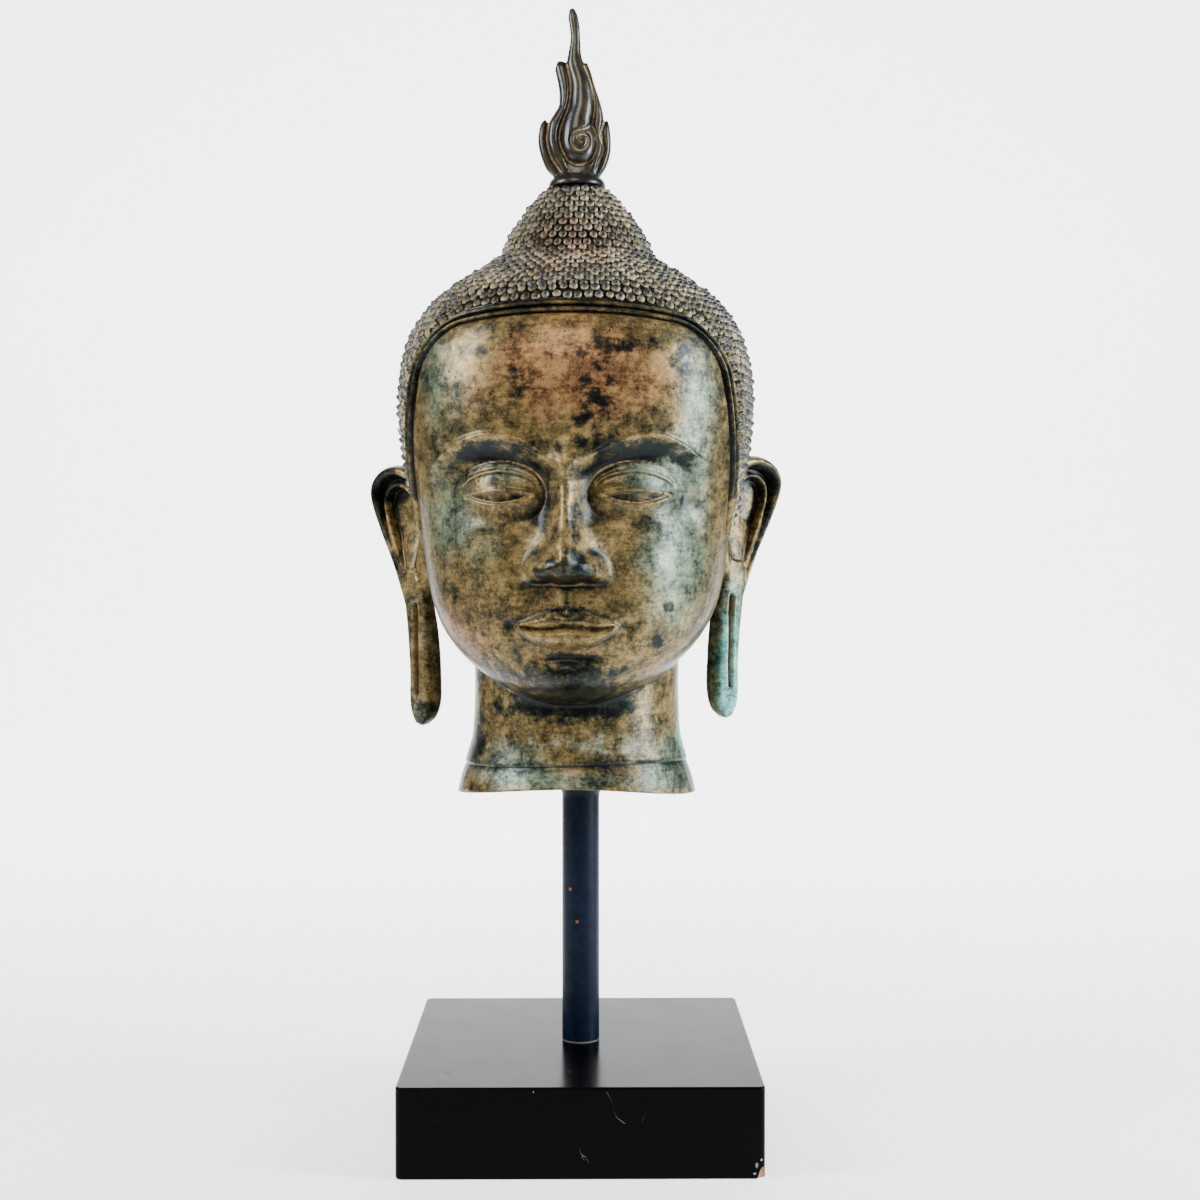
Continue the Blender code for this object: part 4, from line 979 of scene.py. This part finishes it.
def cast_bronze():
    """Lost-wax bronze with a waxed chemical patina: brown and olive, mottled dark, green at the sides, with
    painted shade in the grooves, under the curls, in the brow sockets and under the nose.
    """
    made, add, finish = new_material("waxed_bronze_patina")
    place = add("TexCoord", out="Object")
    hollow, rubbed, hem, residue, slit, shade, hair = (
        add("Attribute", out="Fac", attribute_name=name)
        for name in ("hollow", "rubbed", "hem", "residue", "slit", "shade", "hair"))
    broad, mottle, fine, grain = (
        add("TexNoise", {"Vector": place, "Scale": per(size), "Detail": detail, "Roughness": rough})
        for size, detail, rough in ((32, 6, 0.65), (9, 9, 0.72), (2.6, 6, 0.75), (0.8, 3, 0.65)))
    drawn_out = add("VectorMath", {0: place, 1: (0.2, 0.2, 1.0)}, operation="MULTIPLY")
    streaks = add("TexNoise", {"Vector": drawn_out, "Scale": per(1.6), "Detail": 4, "Roughness": 0.6})
    dark, pale, teal = (blurred(add, place, name, 8, 0.3, 0.8, 1.5) for name in ("dark", "pale", "teal"))
    # Tone: darker in the broad hollows, and darker where the dark patches hold painted shade in the brow
    # sockets and under the nose
    tone = summed(
        add, -1.62, (broad, 0.80), (mottle, 1.50), (fine, 0.95), (grain, 0.45), (streaks, 0.45), (dark, 0.42),
        (hollow, 0.42), (rubbed, -0.12), (pale, -0.10), (hem, 0.28))
    brown, olive, rust, verdigris, lime = (add("ValToRGB", {0: tone}, stops=stops) for stops in (
        ((0, 0.3, 0.52, 0.70, 0.92), "#a8915f #806b40 #54472a #2a2c20 #0f120f"),
        ((0, 0.3, 0.52, 0.72, 0.95), "#979d83 #6f775e #4a5342 #252b23 #0e120f"),
        ((0, 0.3, 0.52, 0.70, 0.92), "#bd9668 #9b7449 #6e4e30 #352c20 #141410"),
        ((0, 0.3, 0.55, 0.8, 1), "#b2d6c9 #82b5a8 #4f8479 #223d38 #101a18"),
        ((0, 0.3, 0.55, 0.8, 1), "#c3bd9e #99937a #6b6a55 #38382d #191a16"),
    ))
    colour = add("Mix", {0: blurred(add, place, "green", 14), 6: brown, 7: olive}, **BLEND)
    colour = add("Mix", {0: blurred(add, place, "warm", 17), 6: colour, 7: rust}, **BLEND)
    colour = add("Mix", {0: pale, 6: colour, 7: lime}, **BLEND)
    colour = add("Mix", {0: teal, 6: colour, 7: verdigris}, **BLEND)
    crumbs = add("MapRange", {0: fine, 1: 0.36, 2: 0.56})
    bare = add("Math", {0: 1.0, 1: hem}, operation="SUBTRACT")
    in_lines = add("Math", {0: residue, 1: bare}, operation="MULTIPLY")
    lines = add("Math", {0: in_lines, 1: crumbs}, operation="MULTIPLY")
    # Painted shade: the hem's grooves and the neck's crease are painted near black, with the chip in front of
    # the crease
    groove_shade_and_chip = add("Math", {0: residue, 1: hem}, operation="MULTIPLY")
    pit_noise = add("TexVoronoi", {"Vector": place, "Scale": per(7)})
    pits = add("MapRange", {0: pit_noise, 1: 0.10, 2: 0.06})
    slit_dirt = add("Mix", {0: crumbs, 6: "#1d160f", 7: "#8a6240"}, **BLEND)
    # Tan residue lines and casting pits; painted shade from the shade mask in the ears' grooves and on the
    # lobes' inner sides, and on the ground under the curls from the hair mask
    for mask, above in ((lines, "#a98a5e"), (groove_shade_and_chip, "#0d0c09"), (pits, "#15110c"), (slit, slit_dirt),
                        (shade, "#15120e"), (hair, "#1b1a15")):
        colour = add("Mix", {0: mask, 6: colour, 7: above}, **BLEND)
    dull = add("Math", {0: pale, 1: teal}, operation="MAXIMUM")
    dusty = add("Math", {0: dull, 1: lines}, operation="MAXIMUM")
    rough = add("MapRange", {0: mottle, 1: 0.35, 2: 0.65, 3: 0.32, 4: 0.22})
    deep = add("Bump", {"Height": mottle, "Distance": 0.30 * MM, "Strength": 0.6})
    middle = add("Bump", {"Height": fine, "Distance": 0.14 * MM, "Strength": 0.7, "Normal": deep})
    finish({
        "Base Color": colour,
        "Metallic": add("MapRange", {0: dusty, 3: 0.38, 4: 0.10}),
        "Roughness": summed(add, rough, (dusty, 0.20), (grain, 0.10)),
        "Specular Tint": "#747980", "Specular IOR Level": 0.4,
        "Coat Weight": 0.10, "Coat Roughness": 0.20,
        "Normal": add("Bump", {"Height": pits, "Distance": 0.3 * MM, "Strength": 0.8, "Normal": middle},
                      invert=True),
    })
    return made


def curled_bronze():
    """Cast bronze among the curls: tan dust between dark tips, painted shade at their feet, redder on the
    crown.
    """
    made, add, finish = new_material("curled_bronze")
    place = add("TexCoord", out="Object")
    tip, red = (add("Attribute", out="Fac", attribute_name=name) for name in ("tip", "red"))
    lumps, fine = (
        add("TexNoise", {"Vector": place, "Scale": per(size), "Detail": detail, "Roughness": rough})
        for size, detail, rough in ((16, 6, 0.65), (1.8, 5, 0.75)))
    # Painted shade: the curls' feet, where tip is near 0, come out near black
    tone = summed(add, -0.76, (tip, 0.80), (lumps, 0.8), (fine, 0.85))
    grey, brown = (add("ValToRGB", {0: tone}, stops=((0, 0.18, 0.35, 0.50, 0.67), colours)) for colours in (
        "#0e0d09 #2b261c #cbb98f #918463 #20231f", "#120c08 #3a2315 #d09a6c #8f6243 #281f18"))
    reddish = add("Math", {0: red, 1: lumps, 2: -0.25}, operation="MULTIPLY_ADD")
    redder = add("MapRange", {0: reddish, 1: 0.0, 2: 0.3})
    finish({
        "Base Color": add("Mix", {0: redder, 6: grey, 7: brown}, **BLEND),
        "Metallic": 0.15,
        "Roughness": add("MapRange", {0: tip, 1: 0.2, 2: 1.0, 3: 0.72, 4: 0.30}),
        "Normal": add("Bump", {"Height": fine, "Distance": 0.35 * MM, "Strength": 0.7}),
    })
    return made


def waxed_bronze():
    """Cast bronze under dark wax: brown-black and glossy, with tan dust left in the grooves."""
    made, add, finish = new_material("waxed_dark_bronze")
    place = add("TexCoord", out="Object")
    residue, rubbed = (add("Attribute", out="Fac", attribute_name=name) for name in ("residue", "rubbed"))
    lumps, fine = (
        add("TexNoise", {"Vector": place, "Scale": per(size), "Detail": detail, "Roughness": rough})
        for size, detail, rough in ((14, 6, 0.65), (1.5, 4, 0.7)))
    tone = summed(add, -0.62, (lumps, 1.5), (fine, 0.7), (rubbed, -0.15))
    colour = add("ValToRGB", {0: tone},
                 stops=((0, 0.3, 0.55, 0.8, 1), "#5f4d31 #37301f #1f1e18 #131512 #0c0e0d"))
    broken = add("MapRange", {0: fine, 1: 0.30, 2: 0.52})
    lines = add("Math", {0: residue, 1: broken}, operation="MULTIPLY")
    finish({
        "Base Color": add("Mix", {0: lines, 6: colour, 7: "#bfa884"}, **BLEND),
        "Metallic": add("MapRange", {0: lines, 3: 0.20, 4: 0.05}),
        "Roughness": summed(add, 0.22, (fine, 0.12), (lines, 0.35)),
        "Normal": add("Bump", {"Height": fine, "Distance": 0.12 * MM, "Strength": 0.5}),
    })
    return made


def painted_steel():
    """Drawn steel bar under satin black paint, with a cold cast and a few specks of rust."""
    made, add, finish = new_material("satin_painted_steel")
    place = add("TexCoord", out="Object")
    dust = add("Attribute", out="Fac", attribute_name="dust")
    fine, spots = (
        add("TexNoise", {"Vector": place, "Scale": per(size), "Detail": detail, "Roughness": rough})
        for size, detail, rough in ((1.2, 5, 0.7), (6, 6, 0.7)))
    drift = add("MapRange", {0: spots, 1: 0.35, 2: 0.65})
    colour = add("Mix", {0: drift, 6: "#060c16", 7: "#091627"}, **BLEND)
    for speck in ((-6.2, -9.1, 140.6), (-2.1, -10.8, 121.7)):
        away = add("VectorMath", {0: place, 1: Vector(speck) * MM}, "Value", operation="DISTANCE")
        rust = add("MapRange", {0: away, 1: 1.3 * MM, 2: 0.6 * MM})
        colour = add("Mix", {0: rust, 6: colour, 7: "#7a4a2c"}, **BLEND)
    finish({
        "Base Color": add("Mix", {0: dust, 6: colour, 7: "#8a857a"}, **BLEND),
        "Roughness": add("MapRange", {0: fine, 1: 0.3, 2: 0.7, 3: 0.34, 4: 0.48}),
        "Specular IOR Level": 0.1,
        "Normal": add("Bump", {"Height": fine, "Distance": 0.10 * MM, "Strength": 0.5}),
    })
    return made


def black_lacquer():
    """Sprayed black lacquer on wood, rubbed to a semi-gloss, with faint dust."""
    made, add, finish = new_material("black_lacquer")
    place = add("TexCoord", out="Object")
    drift, cloudy, wave = (
        add("TexNoise", {"Vector": place, "Scale": per(size), "Detail": detail})
        for size, detail in ((40, 2), (30, 4), (5, 2)))
    specks = add("TexVoronoi", {"Vector": place, "Scale": per(15)})
    here = add("MapRange", {0: specks, 1: 0.030, 2: 0.020})
    some = add("MapRange", {0: drift, 1: 0.5, 2: 0.55})
    dust = add("Math", {0: here, 1: some}, operation="MULTIPLY")
    finish({
        "Base Color": add("Mix", {0: dust, 6: "#030304", 7: "#8d8a84"}, **BLEND),
        "Roughness": add("MapRange", {0: cloudy, 1: 0.3, 2: 0.7, 3: 0.16, 4: 0.24}),
        "Specular IOR Level": 0.03,
        "Normal": add("Bump", {"Height": wave, "Distance": 0.03 * MM, "Strength": 0.4}),
    })
    return made


def bare_wood():
    """The brown wood that shows where lacquer has chipped off."""
    made, add, finish = new_material("bare_wood")
    grain = add("TexNoise", {"Vector": add("TexCoord", out="Object"), "Scale": per(2), "Detail": 4})
    finish({"Base Color": add("Mix", {0: grain, 6: "#6b4630", 7: "#a07a58"}, **BLEND), "Roughness": 0.8})
    return made


def worn_lacquer():
    """The pale, dull bottom of a scratch in lacquer."""
    made, _, finish = new_material("scratched_lacquer")
    finish({"Base Color": "#8f8d8a", "Roughness": 0.7})
    return made


def make_studio():
    """A white sweep that glows like lit paper behind the piece, its glow painted light, and three soft boxes
    in a dim room.
    """
    front, bend, far, high, half = -0.7, 1.0, 1.8, 3.0, 1.25
    radius = far - bend
    arc = np.linspace(0, math.pi / 2, 12)
    sweep = [(front, 0.0)] + [(bend + radius * math.sin(a), radius * (1 - math.cos(a))) for a in arc]
    sweep += [(far, high)]
    points = [(x, y, z) for y, z in sweep for x in (-half, half)]
    faces = [(2 * i, 2 * i + 1, 2 * i + 3, 2 * i + 2) for i in range(len(sweep) - 1)]
    mesh = bpy.data.meshes.new("paper_sweep")
    mesh.from_pydata(points, [], faces)
    mesh.shade_smooth()
    paper = bpy.data.objects.new("paper_sweep", mesh)
    bpy.context.scene.collection.objects.link(paper)
    made, add, finish = new_material("glowing_paper")
    sideways, depth, _ = add("SeparateXYZ", {0: add("TexCoord", out="Object")}).node.outputs
    # Painted light: the paper's glow, brightest at the back, fading at the front and at the sides
    glow = add("MapRange", {0: depth, 1: -0.3, 2: 1.2, 3: 0.95, 4: 3.5}, interpolation_type="SMOOTHSTEP")
    aside = add("Math", {0: sideways}, operation="ABSOLUTE")
    beyond = add("Math", {0: depth, 1: -0.36, 2: aside}, operation="MULTIPLY_ADD")
    for fade in (add("MapRange", {0: beyond, 1: 0.42, 2: 0.62, 3: 1.0, 4: 0.15}),
                 add("MapRange", {0: depth, 1: -0.45, 2: -0.15, 3: 0.15, 4: 1.0})):
        glow = add("Math", {0: glow, 1: fade}, operation="MULTIPLY")
    finish({"Base Color": "#f6f6f4", "Roughness": 0.9,
            "Emission Color": "#ffffff", "Emission Strength": glow})
    mesh.materials.append(made)
    target = Vector((0, 0, 0.36))
    boxes = (
        ("left_box", (-1.12, -0.42, 0.92), (0.36, 0.75), 27, "#eaf2ff"),
        ("right_box", (1.15, -0.36, 0.60), (0.36, 1.0), 44, "#e2eeff"),
        ("front_box", (-0.30, -1.4, 1.45), (0.6, 0.6), 13, "#fff2e2"),
    )
    for name, place, size, power, colour in boxes:
        light = bpy.data.lights.new(name, "AREA")
        light.shape = "RECTANGLE"
        light.size, light.size_y = size
        light.energy = power
        light.color = linear(colour)[:3]
        lamp = bpy.data.objects.new(name, light)
        lamp.location = place
        lamp.rotation_euler = (target - Vector(place)).to_track_quat("-Z", "Y").to_euler()
        bpy.context.scene.collection.objects.link(lamp)
    world = bpy.data.worlds.new("dim_room")
    bpy.context.scene.world = world
    world.use_nodes = True
    world.node_tree.nodes["Background"].inputs[0].default_value = linear("#dfe4ea")
    world.node_tree.nodes["Background"].inputs[1].default_value = 0.12


def make_camera():
    data = bpy.data.cameras.new("camera")
    data.sensor_width = 36
    data.lens = 36 * CAMERA_FOCUS
    camera = bpy.data.objects.new("camera", data)
    camera.location = CAMERA_PLACE
    camera.rotation_euler = (math.pi / 2 - CAMERA_DOWN, 0, -CAMERA_RIGHT)
    bpy.context.scene.collection.objects.link(camera)
    bpy.context.scene.camera = camera


make_camera()
make_studio()
bronze, curled, waxed = cast_bronze(), curled_bronze(), waxed_bronze()
make_head(bronze)
places = curl_places()
crown = places[:, 1] > CROWN_FROM
make_curls("cap_curls", places[~crown], curled)
make_curls("crown_curls", places[crown], curled)
make_ear("right_ear", 1, bronze)
make_ear("left_ear", -1, bronze)
make_flame(waxed)
make_rod(painted_steel())
make_block(black_lacquer(), bare_wood(), worn_lacquer())
